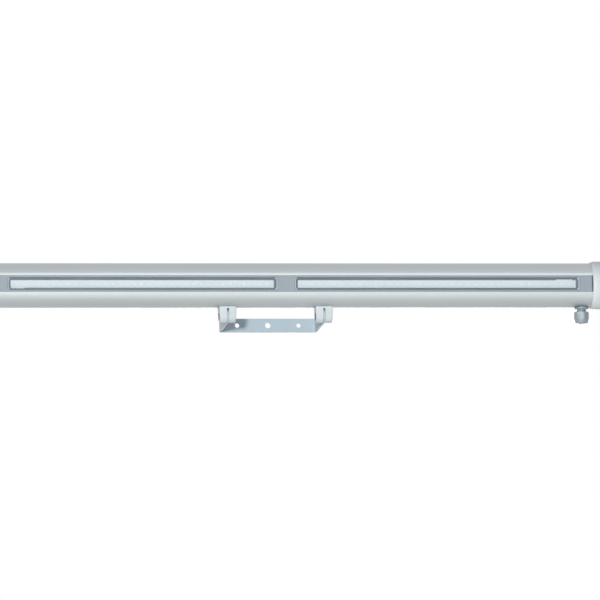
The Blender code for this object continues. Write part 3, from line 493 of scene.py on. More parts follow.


# The sheet's dark colour is painted shade for the recess beside the boards.
def sheet_finish():
    paint = Paint("sheet_painted_shade", (0.11, 0.135, 0.155), 0.42, 0.5)
    lines = paint.noise(700.0, 4.0, (0.01, 1.0, 1.0), 0.6)
    paint.vary("Base Color", paint.tint(lines, (0.1, 0.12, 0.135), (0.145, 0.165, 0.18)))
    paint.vary("Roughness", 0.32 + lines * 0.2)
    paint.bump(lines, 0.02 * MM, 0.4)
    return paint.material


RUBBER = rubber_finish("black_rubber", (0.03, 0.033, 0.033))
GREY_RUBBER = rubber_finish("grey_rubber", (0.15, 0.185, 0.205))
ZINC = steel_finish("zinc_plate", (0.22, 0.225, 0.215), (0.4, 0.405, 0.39), 0.34, 1.0)
BOLT_STEEL = steel_finish("bolt_steel", (0.075, 0.08, 0.07), (0.15, 0.155, 0.14), 0.5, 0.6)
SHEET = sheet_finish()
print("rubber, zinc and sheet finishes made")

# %% [markdown]
# ## Clear pane and pale silicone
#
# The panes are thin and clear, so they hardly tint what is behind them.
# A refracting block would need many light paths to look as clean as the real thing.
# A mostly see-through surface that still mirrors the room does the same at once.

# %% Pane and silicone finishes
def pane_finish():
    paint = Paint("clear_pane", (0.72, 0.88, 0.96), 0.06)
    smear = paint.mask(paint.noise(30.0, 4.0, (0.3, 1.0, 1.0)), 0.45, 0.8)
    paint.vary("Roughness", 0.05 + smear * 0.08)
    paint.vary("Alpha", 0.05 + smear * 0.04)
    paint.material.surface_render_method = "BLENDED"
    return paint.material


def silicone_finish():
    paint = Paint("pale_silicone", (0.72, 0.76, 0.79), 0.4)
    ripples = paint.noise(180.0, 3.0)
    paint.vary("Base Color", paint.tint(ripples, (0.66, 0.7, 0.73), (0.78, 0.82, 0.85)))
    paint.vary("Roughness", 0.3 + ripples * 0.2)
    paint.bump(ripples, 0.1 * MM, 0.5)
    return paint.material


PANE = pane_finish()
SILICONE = silicone_finish()
print("pane and silicone finishes made")

# %% [markdown]
# ## The extruded housing
#
# In section the housing is a ring with a flat-bottomed slot at the front for the strip.
# Two lips frame that slot, and ledges behind it carry the panes.
# It is drawn as one closed outline, because that is also how its die is cut.

# %% Section of the housing
TUBE_RADIUS = 40.0 * MM
INNER_RADIUS = 37.5 * MM
LIP_HALF = 19.6 * MM
CHANNEL_HALF = 14.65 * MM
SEAT_HALF = 12.65 * MM
LIP_FACE = 36.4 * MM
LEDGE_FRONT = 33.7 * MM
LEDGE_BACK = 31.9 * MM
RIBS = ((28.7 * MM, 26.7 * MM), (23.6 * MM, 21.6 * MM))
RIB_HALF = 22.68 * MM


def wall(front, back):
    """Inner wall points between two distances in front of the axis."""
    first, last = acos(front / INNER_RADIUS), acos(back / INNER_RADIUS)
    return round_points(INNER_RADIUS, first, last, 4)


def housing_section():
    """The whole section as one outline: outside, lower inside, upper inside and upper lip."""
    lip = asin(LIP_HALF / TUBE_RADIUS)
    outside = round_points(TUBE_RADIUS, lip, 2 * pi - lip, 164)
    corner = [
        (-LEDGE_BACK, SEAT_HALF),
        (-LEDGE_FRONT, SEAT_HALF),
        (-LEDGE_FRONT, CHANNEL_HALF),
        (-LIP_FACE, CHANNEL_HALF),
        outside[0],
        outside[1],
    ]
    radii = [0.0, 0.0, 0.2 * MM, 0.35 * MM, 0.5 * MM]
    lip_points = filleted(corner, radii, 3)[:-1]
    upper = [(-LEDGE_BACK, sqrt(INNER_RADIUS**2 - LEDGE_BACK**2))]
    before = LEDGE_BACK
    for front, back in RIBS:
        upper += wall(before, front)[1:]
        upper += [(-front, RIB_HALF), (-back, RIB_HALF)]
        upper += [(-back, sqrt(INNER_RADIUS**2 - back**2))]
        before = back
    upper += round_points(INNER_RADIUS, acos(before / INNER_RADIUS), pi, 60)[1:]
    half = lip_points[::-1] + upper
    mirrored = [(y, -z) for y, z in half]
    return outside[1:-1] + mirrored + upper[-2::-1] + lip_points


section = housing_section()
housing = as_object("extrusion", extruded(section, TUBE_START, TUBE_END), TUBE)
finish(housing, ANODISED, "lamp", ["housing_tube"])
print("section points:", len(section))

# %% [markdown]
# ## The front strip
#
# The strip closes the slot from end to end, and each window in it has a milled bevel.
# A Boolean cut would work, but then the bevel would need a second tool.
# Loops of points at three depths give the window, its bevel and a crisp front edge together.

# %% Front strip with bevelled windows
STRIP_FACE = 36.0 * MM
STRIP_BACK = 34.0 * MM
STRIP_HALF = 14.35 * MM
STRIP_ENDS = (-511.2 * MM, 572.2 * MM)
WINDOW_HALF = 11.9 * MM
WINDOW_CORNER = 5.4 * MM
CORNER_POINTS = 11
EDGE_BREAK = 0.15 * MM
WINDOW_BEVEL = 1.0 * MM


def window_loop(start, end, shrink, depth):
    """Round-cornered window outline at one depth, drawn in from the opening by shrink."""
    corner = WINDOW_CORNER - shrink
    right, left = end - shrink - corner, start + shrink + corner
    z = WINDOW_HALF - shrink - corner
    loop = []
    for quarter, (cx, cz) in enumerate(((right, z), (left, z), (left, -z), (right, -z))):
        for i in range(CORNER_POINTS):
            a = pi / 2 * (quarter + i / (CORNER_POINTS - 1))
            loop.append((cx + corner * cos(a), -depth, cz + corner * sin(a)))
    return loop


def strip_border(shrink, depth):
    x0, x1, z = STRIP_ENDS[0] + shrink, STRIP_ENDS[1] - shrink, STRIP_HALF - shrink
    return [(x0, -depth, -z), (x1, -depth, -z), (x1, -depth, z), (x0, -depth, z)]


def strip_layer(border, rim, depth):
    """The strip's outline and both windows at one depth, each drawn in by its own amount."""
    openings = [window_loop(start, end, rim, depth) for start, end in WINDOWS.values()]
    return [strip_border(border, depth), *openings]


strip_layers = [
    strip_layer(EDGE_BREAK, -0.12 * MM, STRIP_FACE),
    strip_layer(0.0, 0.06 * MM, STRIP_FACE - EDGE_BREAK),
    strip_layer(0.0, WINDOW_BEVEL, STRIP_BACK + 0.1 * MM),
    strip_layer(0.0, WINDOW_BEVEL, STRIP_BACK),
]
strip = as_object("front_strip", stacked(strip_layers), TUBE)
finish(strip, STRIP_COAT, "lamp", ["window_strip"])
print("windows:", len(WINDOWS))

# %% [markdown]
# ## LED boards
#
# Each board is a white-masked strip with a row of small square packages.
# A package is a white frame round a drop of warm yellow phosphor, on two solder pads.
# One package is built in mesh code and repeated, with the phosphor in its own material.

# %% Board, package and phosphor finishes
TRACK_WIDTH = 1.8 * MM


def board_finish():
    """White solder mask with faint copper tracks under it."""
    paint = Paint("white_mask", (0.78, 0.855, 0.915), 0.35)
    spot = paint.place()
    split = paint.node("ShaderNodeSeparateXYZ", {}, {0: spot}, output="Z")
    tracks = paint.node("ShaderNodeMath", {"operation": "PINGPONG"}, {0: split, 1: TRACK_WIDTH})
    under = paint.mask(tracks / TRACK_WIDTH, 0.8, 0.86)
    clouds = paint.noise(40.0, 2.0)
    body = paint.tint(clouds, (0.66, 0.74, 0.8), (0.7, 0.77, 0.825))
    paint.vary("Base Color", paint.tint(under * 0.5, body, (0.62, 0.695, 0.75)))
    paint.vary("Roughness", 0.3 + clouds * 0.12)
    paint.bump(under, 0.03 * MM, 0.6)
    return paint.material


def phosphor_finish():
    paint = Paint("warm_phosphor", (1.0, 0.78, 0.33), 0.35)
    grain = paint.noise(2500.0, 2.0)
    paint.vary("Base Color", paint.tint(grain, (1.0, 0.75, 0.28), (1.0, 0.82, 0.38)))
    paint.bump(grain, 0.02 * MM, 0.5)
    return paint.material


MASK = board_finish()
PHOSPHOR = phosphor_finish()
PACKAGE = moulded_finish("led_package", (0.85, 0.86, 0.84), 0.35, 2500.0, 0.01)
SOLDER = Paint("solder", (0.72, 0.73, 0.74), 0.35, 0.8)
SOLDER.bump(SOLDER.noise(1500.0, 3.0), 0.05 * MM, 0.6)
print("board finishes made")

# %% One board with its packages
BOARD_FRONT = 28.3 * MM
BOARD_THICKNESS = 1.6 * MM
BOARD_HALF = 6.75 * MM
BOARD_MARGIN = 7.0 * MM
LED_MARGIN = 18.4 * MM
LEDS = 35
# Height above the board, half width and corner radius, in millimetres, from the foot upwards.
PACKAGE_LEVELS = ((0.0, 1.6, 0.15), (0.66, 1.6, 0.16), (0.72, 1.55, 0.18), (0.68, 1.5, 0.2))
PAD_OFFSET = 1.7 * MM
PAD_HALF_WIDTH = 0.25 * MM
PAD_HALF_LENGTH = 0.8 * MM
PAD_HEIGHT = 0.12 * MM
BLOCK_SIDES = ((0, 1, 3, 2), (4, 6, 7, 5), (0, 4, 5, 1), (2, 3, 7, 6), (0, 2, 6, 4), (1, 5, 7, 3))
MASK_FACE, PACKAGE_FACE, PHOSPHOR_FACE, SOLDER_FACE = range(4)


def rounded_square(x, depth, half, corner):
    """A ring of 16 points round a square with soft corners."""
    ring = []
    for quarter, (sx, sz) in enumerate(((1, 1), (-1, 1), (-1, -1), (1, -1))):
        for i in range(4):
            a = pi / 2 * (quarter + i / 3)
            cx, cz = sx * (half - corner), sz * (half - corner)
            ring.append((x + cx + corner * cos(a), -depth, cz + corner * sin(a)))
    return ring


def add_package(mesh, x):
    """One LED: a white frame with a sunk square of phosphor."""
    rings = []
    for up, half, corner in PACKAGE_LEVELS:
        points = rounded_square(x, BOARD_FRONT + up * MM, half * MM, corner * MM)
        rings.append([mesh.verts.new(p) for p in points])
    faces = [mesh.faces.new(rings[0])]
    for near, far in zip(rings, rings[1:]):
        before = len(mesh.faces)
        between(mesh, near, far)
        mesh.faces.ensure_lookup_table()
        faces += mesh.faces[before:]
    drop = mesh.faces.new(rings[-1])
    for face in faces:
        face.material_index = PACKAGE_FACE
    drop.material_index = PHOSPHOR_FACE


def add_block(mesh, low, high, index):
    """A box between two corners; the bits of i choose the side along X, Y and Z."""
    corners = [
        (low[0] if i & 4 else high[0], low[1] if i & 2 else high[1], low[2] if i & 1 else high[2])
        for i in range(8)
    ]
    verts = [mesh.verts.new(c) for c in corners]
    for side in BLOCK_SIDES:
        mesh.faces.new([verts[i] for i in side]).material_index = index


def led_board(side, start, end):
    mesh = bmesh.new()
    low = (start + BOARD_MARGIN, -BOARD_FRONT, -BOARD_HALF)
    high = (end - BOARD_MARGIN, BOARD_THICKNESS - BOARD_FRONT, BOARD_HALF)
    add_block(mesh, low, high, MASK_FACE)
    pitch = (end - start - 2 * LED_MARGIN) / (LEDS - 1)
    for i in range(LEDS):
        x = start + LED_MARGIN + pitch * i
        add_package(mesh, x)
        for middle in (x - PAD_OFFSET, x + PAD_OFFSET):
            low = (middle - PAD_HALF_WIDTH, -BOARD_FRONT - PAD_HEIGHT, -PAD_HALF_LENGTH)
            high = (middle + PAD_HALF_WIDTH, -BOARD_FRONT, PAD_HALF_LENGTH)
            add_block(mesh, low, high, SOLDER_FACE)
    bmesh.ops.recalc_face_normals(mesh, faces=mesh.faces)
    board = as_object(f"board_{side}", mesh, TUBE)
    materials = [MASK, PACKAGE, PHOSPHOR, SOLDER.material]
    return finish(board, materials, "lamp", [f"led_board_{side}"])


for side, (start, end) in WINDOWS.items():
    print(led_board(side, start, end).name, "with", LEDS, "packages")

# %% [markdown]
# ## Pieces that are good as packed
#
# Panes, seal frames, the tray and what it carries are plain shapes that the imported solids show.
# Each could be modelled once more, but nothing would be gained and it might come out displaced.
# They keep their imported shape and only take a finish.

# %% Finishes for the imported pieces
KEPT = {
    "lens_left": PANE,
    "lens_right": PANE,
    "lens_seal_left": SILICONE,
    "lens_seal_right": SILICONE,
    "gear_tray": SHEET,
    "led_driver": DRIVER_PLASTIC,
    "terminal_block": TERMINAL_PLASTIC,
    "driver_lead_live": LIVE_SLEEVE,
    "driver_lead_neutral": NEUTRAL_SLEEVE,
    "cap_gasket_left": RUBBER,
    "cap_gasket_right": RUBBER,
    # The grey plugs are seals, and their dark colour also paints the shade of the gap under each
    # cap's mouth.
    "channel_plug_left": GREY_RUBBER,
    "channel_plug_right": GREY_RUBBER,
    "gland_locknut": GLAND_PLASTIC,
}
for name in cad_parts:
    if name.startswith(("driver_screw", "clamp_screw")):
        KEPT[name] = ZINC
for name, material in KEPT.items():
    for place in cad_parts[name].material_slots:
        place.material = material
print("packed pieces with a finish:", len(KEPT))

# %% [markdown]
# ## Sealant laid by hand
#
# At the ends of each window a pale bead fills the corner between pane and strip.
# A little paste has also crept out beside the boards, where it looks ragged.
# A ring of points carried along a path, with its size changed by a few sines, makes both.

# %% Beads of sealant and paste
ROUND = [2 * pi * k / 10 for k in range(10)]
FLATTENED = Vector((0.0, -0.7, 0.0))
BEAD_STEP = 0.5 * MM
SEALANT_INSET = 1.8 * MM
SEALANT_DEPTH = 33.3 * MM
PASTE_DEPTH = 28.5 * MM
PASTE_UP = 7.3 * MM


def bead(name, path, thick, uneven):
    """A bead round (x, y, z) points that follow a line in a plane parallel to XZ."""
    mesh = bmesh.new()
    rings = []
    last = len(path) - 1
    for i, at in enumerate(path):
        along = (Vector(path[min(i + 1, last)]) - Vector(path[max(i - 1, 0)])).normalized()
        across = along.cross(Vector((0.0, 1.0, 0.0)))
        swell = 0.5 * sin(0.37 * i) + 0.35 * sin(0.83 * i + 1.0) + 0.15 * sin(1.7 * i + 2.0)
        taper = min(1.0, 0.3 + 0.35 * min(i, last - i))
        size = thick * (1.0 + uneven * swell) * taper
        middle = Vector(at) + across * thick * uneven * 0.5 * sin(0.55 * i + 0.5)
        points = [middle + (across * cos(t) + FLATTENED * sin(t)) * size for t in ROUND]
        rings.append([mesh.verts.new(p) for p in points])
    mesh.faces.new(rings[0])
    mesh.faces.new(rings[-1])
    for near, far in zip(rings, rings[1:]):
        between(mesh, near, far)
    bmesh.ops.recalc_face_normals(mesh, faces=mesh.faces)
    finish(as_object(name, mesh, TUBE), SILICONE, "lamp")


def straight(start, end, z, depth):
    count = int((end - start) / BEAD_STEP)
    return [(start + BEAD_STEP * i, -depth, z) for i in range(count + 1)]


for side, (start, end) in WINDOWS.items():
    loop = window_loop(start, end, SEALANT_INSET, SEALANT_DEPTH)
    one, three = CORNER_POINTS, 3 * CORNER_POINTS
    bead(f"sealant_{side}_end", loop[three:] + loop[:one], 0.75 * MM, 0.3)
    bead(f"sealant_{side}_start", loop[one:three], 0.6 * MM, 0.3)
bead("paste_right", straight(508 * MM, 537 * MM, PASTE_UP, PASTE_DEPTH), 1.0 * MM, 0.6)
bead("paste_left", straight(-481 * MM, -456 * MM, -PASTE_UP, PASTE_DEPTH), 1.0 * MM, 0.6)
print("beads: 4 of sealant, 2 of paste")

# %% [markdown]
# ## End caps
#
# Each cap is a moulded cup pushed over the tube against a rubber ring.
# Its mouth is chamfered, its closed end is rounded, and four screws sit in counterbores.
# A turned outline makes the cup, and the counterbores are cut into it.

# %% Caps
CAP_RIMS = {"left": (-513.0 * MM, -1.0), "right": (574.0 * MM, 1.0)}
CAP_LENGTH = 38.0 * MM
PORT_RING = 34.2 * MM
PORT_ANGLES = [radians(a) for a in (62.0, -62.0, 130.0, -130.0)]
SCREW_SINK = 4.0 * MM
HEAD_BORE = 4.1 * MM
SCREW_HOLE = 2.05 * MM


def cap_outline(rim, way):
    """Half section from the inner floor, over the mouth and round to the outer face."""
    points = [
        (26.6, 0.0),
        (26.6, 40.3),
        (0.0, 40.3),
        (0.0, 41.1),
        (5.0, 43.1),
        (38.0, 43.1),
        (38.0, 28.2),
        (36.8, 27.0),
        (36.8, 0.0),
    ]
    radii = [0.0, 0.5, 0.15, 0.3, 2.5, 6.0, 0.5, 0.5, 0.0]
    points = filleted([(x * MM, r * MM) for x, r in points], [r * MM for r in radii], 6)
    return [(rim + way * x, r) for x, r in points]


def port(angle):
    """Where a screw port lies, as (y, z) from the tube's axis."""
    return round_points(PORT_RING, angle, angle, 1)[0]


def counterbores(end, way):
    """Four stepped cutters, for the screws' heads and for their shanks."""
    outside, seat, inside = 4.0 * MM, -SCREW_SINK - 0.3 * MM, -16.0 * MM
    outline = [(outside, 0.0), (outside, HEAD_BORE), (seat, HEAD_BORE)]
    outline += [(seat, SCREW_HOLE), (inside, SCREW_HOLE), (inside, 0.0)]
    mesh = bmesh.new()
    for angle in PORT_ANGLES:
        hole = turned_on_x([(way * x, r) for x, r in outline], 32)
        add_to(mesh, hole, Matrix.Translation((end, *port(angle))))
    return mesh


for side, (rim, way) in CAP_RIMS.items():
    cap = as_object(f"cap_{side}", turned_on_x(cap_outline(rim, way), 120), TUBE)
    carve(cap, counterbores(rim + way * CAP_LENGTH, way))
    finish(cap, CAP_PLASTIC, "lamp", [f"end_cap_{side}"], 0.15 * MM)
print("caps:", sorted(CAP_RIMS))

# %% [markdown]
# ## Hexagons and screws
#
# Bolt heads, nuts and the gland nut are hexagons with their corners turned off in a lathe.
# A bevel would cut the corners straight, where the lathe leaves them curved.
# So a hexagonal bar and a turned blank are made, and only what both share is kept.

# %% Hexagonal heads and socket screws
SOCKET_FLATS = 3.0 * MM


def hexagon(across_flats, turn=0.0):
    radius = across_flats / 2 / cos(pi / 6)
    return round_points(radius, turn, turn + 2 * pi, 6)[:-1]


def hex_piece(name, across_flats, start, end, place, ends):
    """A hexagon along X; ends says with 1 or 0 where its corners are turned down."""
    corner = across_flats / 2 / cos(pi / 6) + 0.05 * MM
    low = across_flats / 2 * 0.98
    slope = (corner - low) * 0.55
    first, last = ends
    near, far = start - (1 - first) * MM, end + (1 - last) * MM
    blank = [(near, 0.0)]
    blank += [(near, low), (near + slope, corner)] if first else [(near, corner)]
    blank += [(far - slope, corner), (far, low)] if last else [(far, corner)]
    blank.append((far, 0.0))
    bar = extruded(hexagon(across_flats), start - first * MM, end + last * MM)
    piece = as_object(name, bar, place)
    carve(piece, turned_on_x(blank, 48), "INTERSECT")
    return piece


def socket_screw(name, place):
    """Cylinder-head screw along -X from its seat at 0, with a hexagonal socket."""
    points = [(-22.0, 0.0), (-22.0, 1.75), (0.0, 1.75), (0.0, 3.8), (2.6, 3.8), (2.6, 0.0)]
    radii = [0.0, 0.3 * MM, 0.0, 0.1 * MM, 0.45 * MM, 0.0]
    outline = filleted([(x * MM, r * MM) for x, r in points], radii)
    screw = as_object(name, turned_on_x(outline, 32), place)
    carve(screw, extruded(hexagon(SOCKET_FLATS), 1.0 * MM, 4.0 * MM))
    return screw


for side, (rim, way) in CAP_RIMS.items():
    seat = rim + way * (CAP_LENGTH - SCREW_SINK)
    turn = ROOM if way > 0 else Matrix.Rotation(pi, 4, "Z")
    for number, angle in enumerate(PORT_ANGLES, 1):
        place = TUBE @ Matrix.Translation((seat, *port(angle))) @ turn
        screw = socket_screw(f"cap_socket_screw_{side}_{number}", place)
        finish(screw, ZINC, "lamp", [f"cap_screw_{side}_{number}"])
print("cap screws:", 2 * len(PORT_ANGLES))

# %% [markdown]
# ## Clamps
#
# A clamp is a moulded block with a saddle on top and two lugs that straddle the bracket's ear.
# Bolt head and nut sink into hexagonal pockets, so the bolt can't turn while it is tightened.
# The block is drawn from the side, pushed along X, tapered, and then cut.

# %% Clamps with slot and pockets
CLAMP_WIDTH = 31.0 * MM
LUG_RADIUS = 12.0 * MM
SLOT_HALF = 1.8 * MM
SLOT_ROOF = 14.0 * MM
POCKET = 7.0 * MM
AXIS_UP = 55.5 * MM
BOLT_FLATS = 13.0 * MM
BOLT_HOLE = 4.3 * MM
GAP = 0.3 * MM
CLAMP_TAPER = 0.06


def clamp_block():
    """The side view pushed along X, drawn in towards its foot, with soft edges."""
    saddle_radius = TUBE_RADIUS + GAP
    half = asin(LUG_RADIUS / saddle_radius)
    top = round_points(saddle_radius, -pi / 2 - half, -pi / 2 + half, 16, (0.0, AXIS_UP))
    nose = round_points(LUG_RADIUS, 0.0, -pi, 36)
    mesh = extruded(top + nose, -CLAMP_WIDTH / 2, CLAMP_WIDTH / 2)
    high = AXIS_UP - TUBE_RADIUS
    for vert in mesh.verts:
        drop = max(0.0, (high - vert.co.z) / (high + LUG_RADIUS))
        vert.co.x *= 1.0 - CLAMP_TAPER * drop
    side_edges = [
        e
        for e in mesh.edges
        if e.verts[0].co.x * e.verts[1].co.x > 0
        and any(abs(f.normal.x) < 0.5 for f in e.link_faces)
        and min(v.co.z for v in e.verts) < high - 0.4 * MM
    ]
    bmesh.ops.bevel(
        mesh, geom=side_edges, offset=1.6 * MM, segments=5, profile=0.5, affect="EDGES"
    )
    return mesh


def block(low, high):
    mesh = bmesh.new()
    add_block(mesh, low, high, 0)
    bmesh.ops.recalc_face_normals(mesh, faces=mesh.faces)
    return mesh


def clamp(side, x):
    place = PIVOT @ Matrix.Translation((x, 0.0, 0.0))
    piece = as_object(f"clamp_{side}_block", clamp_block(), place)
    deep = LUG_RADIUS + 4 * MM
    carve(piece, block((-SLOT_HALF, -deep, -deep), (SLOT_HALF, deep, SLOT_ROOF)))
    wide = CLAMP_WIDTH / 2 + 4 * MM
    carve(piece, extruded(circle(BOLT_HOLE, 40), -wide, wide))
    floor = CLAMP_WIDTH / 2 - POCKET
    for way in (-1, 1):
        first, last = sorted((way * floor, way * wide))
        carve(piece, extruded(hexagon(BOLT_FLATS + 2 * GAP), first, last))
    return finish(piece, CLAMP_PLASTIC, "lamp", [f"clamp_{side}"], 0.3 * MM)


for side, x in EARS.items():
    print(clamp(side, x).name)

# %% Pivot bolts and nuts
def pivot(side, x):
    """A bolt whose head lies in the left pocket, and its nut in the right one."""
    place = PIVOT @ Matrix.Translation((x, 0.0, 0.0))
    floor = CLAMP_WIDTH / 2 - POCKET + GAP
    head = (-floor - 5.3 * MM, -floor)
    nut = (floor, floor + 6.0 * MM)
    bolt = hex_piece(f"bolt_{side}", BOLT_FLATS, *head, place, (1, 0))
    shaft = [(-floor - 2 * MM, 0.0), (-floor - 2 * MM, 4 * MM), (14.6 * MM, 4 * MM)]
    shaft += [(15.0 * MM, 3.4 * MM), (15.0 * MM, 0.0)]
    carve(bolt, turned_on_x(shaft, 40), "UNION")
    finish(bolt, BOLT_STEEL, "lamp", [f"pivot_bolt_{side}"])
    ring = hex_piece(f"nut_{side}", BOLT_FLATS, *nut, place, (0, 1))
    carve(ring, extruded(circle(BOLT_HOLE, 40), nut[0] - MM, nut[1] + MM))
    finish(ring, BOLT_STEEL, "lamp", [f"pivot_nut_{side}"])


for side, x in EARS.items():
    pivot(side, x)
print("pivots:", sorted(EARS))

# %% [markdown]
# ## The bracket
#
# The bracket is one flat bar: punched, rounded at its ends and bent twice.
# Seen from above it is a U of even thickness, so that outline is pushed up to the bar's width.
# The round ends and the holes are then kept or cut, and every edge is broken as punching leaves it.

# %% Bent bar
BAR_WIDTH = 25.0 * MM
BAR = 3.0 * MM
BEND = 2.5 * MM
REACH = 93.5 * MM
HALF = BAR_WIDTH / 2
SIDE_HOLE = 4.0 * MM
SIDE_HOLE_X = 56.0 * MM
MIDDLE_HOLE = 5.0 * MM
THROUGH_ALL = (-0.1, 0.1)
THROUGH_BASE = (-7 * MM, 4 * MM)


def bar_plan():
    """The bent bar from above, as one closed outline of (x, y)."""
    outer = EARS["right"] + BAR / 2
    tip = -REACH - HALF
    cx, cy = outer - BEND - BAR, -BEND - BAR
    turns = [pi / 2 * i / 10 for i in range(11)]
    outside = [(cx + (BEND + BAR) * cos(t), cy + (BEND + BAR) * sin(t)) for t in turns]
    inside = [(cx + BEND * cos(t), cy + BEND * sin(t)) for t in turns]
    right = [(outer, tip), *outside]
    inner = [(outer - BAR, tip), *inside]
    return right + [(-x, y) for x, y in right[::-1]] + [(-x, y) for x, y in inner] + inner[::-1]


def rods(places, radius, low, high, axis):
    """Round bars for holes, along Y or X."""
    mesh = bmesh.new()
    for x, y, z in places:
        rod = extruded(circle(radius, 48), low, high)
        turn = Matrix.Rotation(pi / 2, 4, "Z") if axis == "Y" else ROOM
        add_to(mesh, rod, Matrix.Translation((x, y, z)) @ turn)
    return mesh


layers = [[[(x, y, z) for x, y in bar_plan()]] for z in (-HALF, HALF)]
bracket = as_object("bent_bar", stacked(layers), ROOM)
ends = round_points(HALF, -pi / 2, pi / 2, 40, (-REACH, 0.0))
ends += [(-HALF, HALF + MM), (MM, HALF + MM), (MM, -HALF - MM), (-HALF, -HALF - MM)]
carve(bracket, extruded(ends, *THROUGH_ALL), "INTERSECT")
carve(bracket, rods([(0.0, -REACH, 0.0)], BOLT_HOLE, *THROUGH_ALL, "X"))
side_holes = [(-SIDE_HOLE_X, 0.0, 0.0), (SIDE_HOLE_X, 0.0, 0.0)]
carve(bracket, rods(side_holes, SIDE_HOLE, *THROUGH_BASE, "Y"))
carve(bracket, rods([(0.0, 0.0, 0.0)], MIDDLE_HOLE, *THROUGH_BASE, "Y"))
finish(bracket, BRACKET_COAT, "bracket", ["u_bracket"], 0.4 * MM)
print("bracket vertices:", len(bracket.data.vertices))

# %% [markdown]
# ## The cable gland
#
# The gland is screwed through the tube's thick floor, with a rubber saddle under its flange.
# Its domed nut squeezes a rubber ring onto the cable, and slides up as it is turned.
# All of it is turned work, apart from the nut's flats and the saddle that fits the round tube.

# %% Gland body and gasket
def ring_below(outer, inner, top, bottom):
    """A turned ring on the gland's axis between two distances below the tube's axis."""
    return turned_down([(top, inner), (top, outer), (bottom, outer), (bottom, inner)])


def tube_bar(radius):
    """A stretch of round bar on the tube's axis, long enough to cut across the gland."""
    return extruded(circle(radius, 180), -20 * MM, 20 * MM)


gasket_ring = ring_below(12.6 * MM, 10.3 * MM, 35 * MM, 45 * MM)
gasket = as_object("gland_saddle_seal", gasket_ring, GLAND)
carve(gasket, tube_bar(41.5 * MM), "INTERSECT")
carve(gasket, tube_bar(40.3 * MM))
finish(gasket, GREY_RUBBER, "lamp", ["gland_gasket"], 0.2 * MM)


def gland_body_mesh():
    """Flange, threaded neck and bore; the flange runs up into the tube and is cut back."""
    top, last_ring, pitch = 44.0, 59.0, 1.5
    outline = [(27.5, 6.0), (27.5, 10.0), (36.0, 10.0), (36.0, 13.4), (41.4, 13.4)]
    outline += [(43.1, 11.4), (43.1, 8.5)]
    radii = [0.0, 0.4, 0.0, 0.0, 0.4, 0.4, 0.3]
    depth = top
    while depth < last_ring:
        outline += [(depth, 8.5), (depth + 0.35, 8.5), (depth + 0.75, 7.95), (depth + 1.15, 7.95)]
        radii += [0.0] * 4
        depth += pitch
    outline += [(60.1, 7.9), (60.1, 6.6), (51.5, 6.6), (51.5, 6.0)]
    radii += [0.2, 0.1, 0.0, 0.0]
    points = filleted([(d * MM, r * MM) for d, r in outline], [r * MM for r in radii])
    return turned_down(points)


body = as_object("gland_flange", gland_body_mesh(), GLAND)
saddle_cut = tube_bar(41.8 * MM)
shank = turned_down([(20 * MM, 0.0), (20 * MM, 10.2 * MM), (60 * MM, 10.2 * MM), (60 * MM, 0.0)])
cutter = as_object("saddle_cut", saddle_cut, GLAND)
carve(cutter, shank)
carve(body, bmesh_of(cutter))
finish(body, GLAND_PLASTIC, "lamp", ["gland_body"])
print("gland body built")

# %% Dome nut and sealing ring
NUT_FLATS = 24.0 * MM
NUT_TURN = radians(-12.0)


def dome_outline():
    """Half section of the nut in millimetres: inside, chamfer, hexagon's corners and dome."""
    flats, dome_start, dome_length, mouth = 12.0, 60.9, 7.7, 9.4
    corner = flats / cos(pi / 6) * 0.955
    points = [(47.9, 8.8), (47.9, 12.2), (49.0, corner), (dome_start, corner)]
    for i in range(1, 13):
        a = pi / 2 * i / 12
        points.append((dome_start + dome_length * sin(a), mouth + (flats - mouth) * cos(a)))
    points += [(68.6, 6.0), (64.0, 6.0), (64.0, 8.8)]
    return [(d * MM, r * MM) for d, r in points]


nut = as_object("gland_nut", turned_down(dome_outline(), 72), GLAND)
bar = extruded(hexagon(NUT_FLATS, NUT_TURN), -75 * MM, -40 * MM)
bar.transform(Matrix.Rotation(-pi / 2, 4, "Y"))
carve(nut, bar, "INTERSECT")
finish(nut, GLAND_PLASTIC, "gland_nut", ["gland_dome_nut"], 0.35 * MM)
ring = ring_below(6.3 * MM, 3.8 * MM, 54.7 * MM, 63.7 * MM)
seal = as_object("gland_sealing_ring", ring, GLAND)
finish(seal, RUBBER, "gland_insert", ["gland_seal"], 0.3 * MM)
print("gland nut vertices:", len(nut.data.vertices))

# %% [markdown]
# ## Camera
#
# The photograph has almost no perspective, so the camera stands far away with a long lens.
# It looks from a little to the left and from below, and is rolled until the tube lies level.
# Distance, lens and aim come from one measured scale of millimetres per pixel at the pivots.

# %% Long lens from below left
PIXEL = 1.796 * MM
PIXELS = 600
FAR = 24.0
SIDEWAYS = radians(9.0)
BELOW = radians(10.5)
PIVOT_PIXEL = (275.4, 316.3)


def look():
    """Right, up and forward directions of the camera."""
    ahead = Vector((sin(SIDEWAYS) * cos(BELOW), cos(SIDEWAYS) * cos(BELOW), sin(BELOW)))
    level = Vector((cos(SIDEWAYS), -sin(SIDEWAYS), 0.0))
    roll = atan2(sin(BELOW) * sin(SIDEWAYS), cos(SIDEWAYS))
    upright = level.cross(ahead)
    right = cos(roll) * level - sin(roll) * upright
    return right, sin(roll) * level + cos(roll) * upright, ahead


right, up, ahead = look()
aim = PIVOT.translation + right * (PIXELS / 2 - PIVOT_PIXEL[0]) * PIXEL
aim += up * (PIVOT_PIXEL[1] - PIXELS / 2) * PIXEL
lens = bpy.data.cameras.new("long_lens")
lens.sensor_width = 36.0
lens.lens = lens.sensor_width * FAR / (PIXELS * PIXEL)
lens.clip_end = 100.0
camera = bpy.data.objects.new("camera", lens)
bpy.context.scene.collection.objects.link(camera)
turn = Matrix((right, up, -ahead)).transposed().to_4x4()
camera.matrix_world = Matrix.Translation(aim - ahead * FAR) @ turn
bpy.context.scene.camera = camera
print("lens", round(lens.lens), "mm")

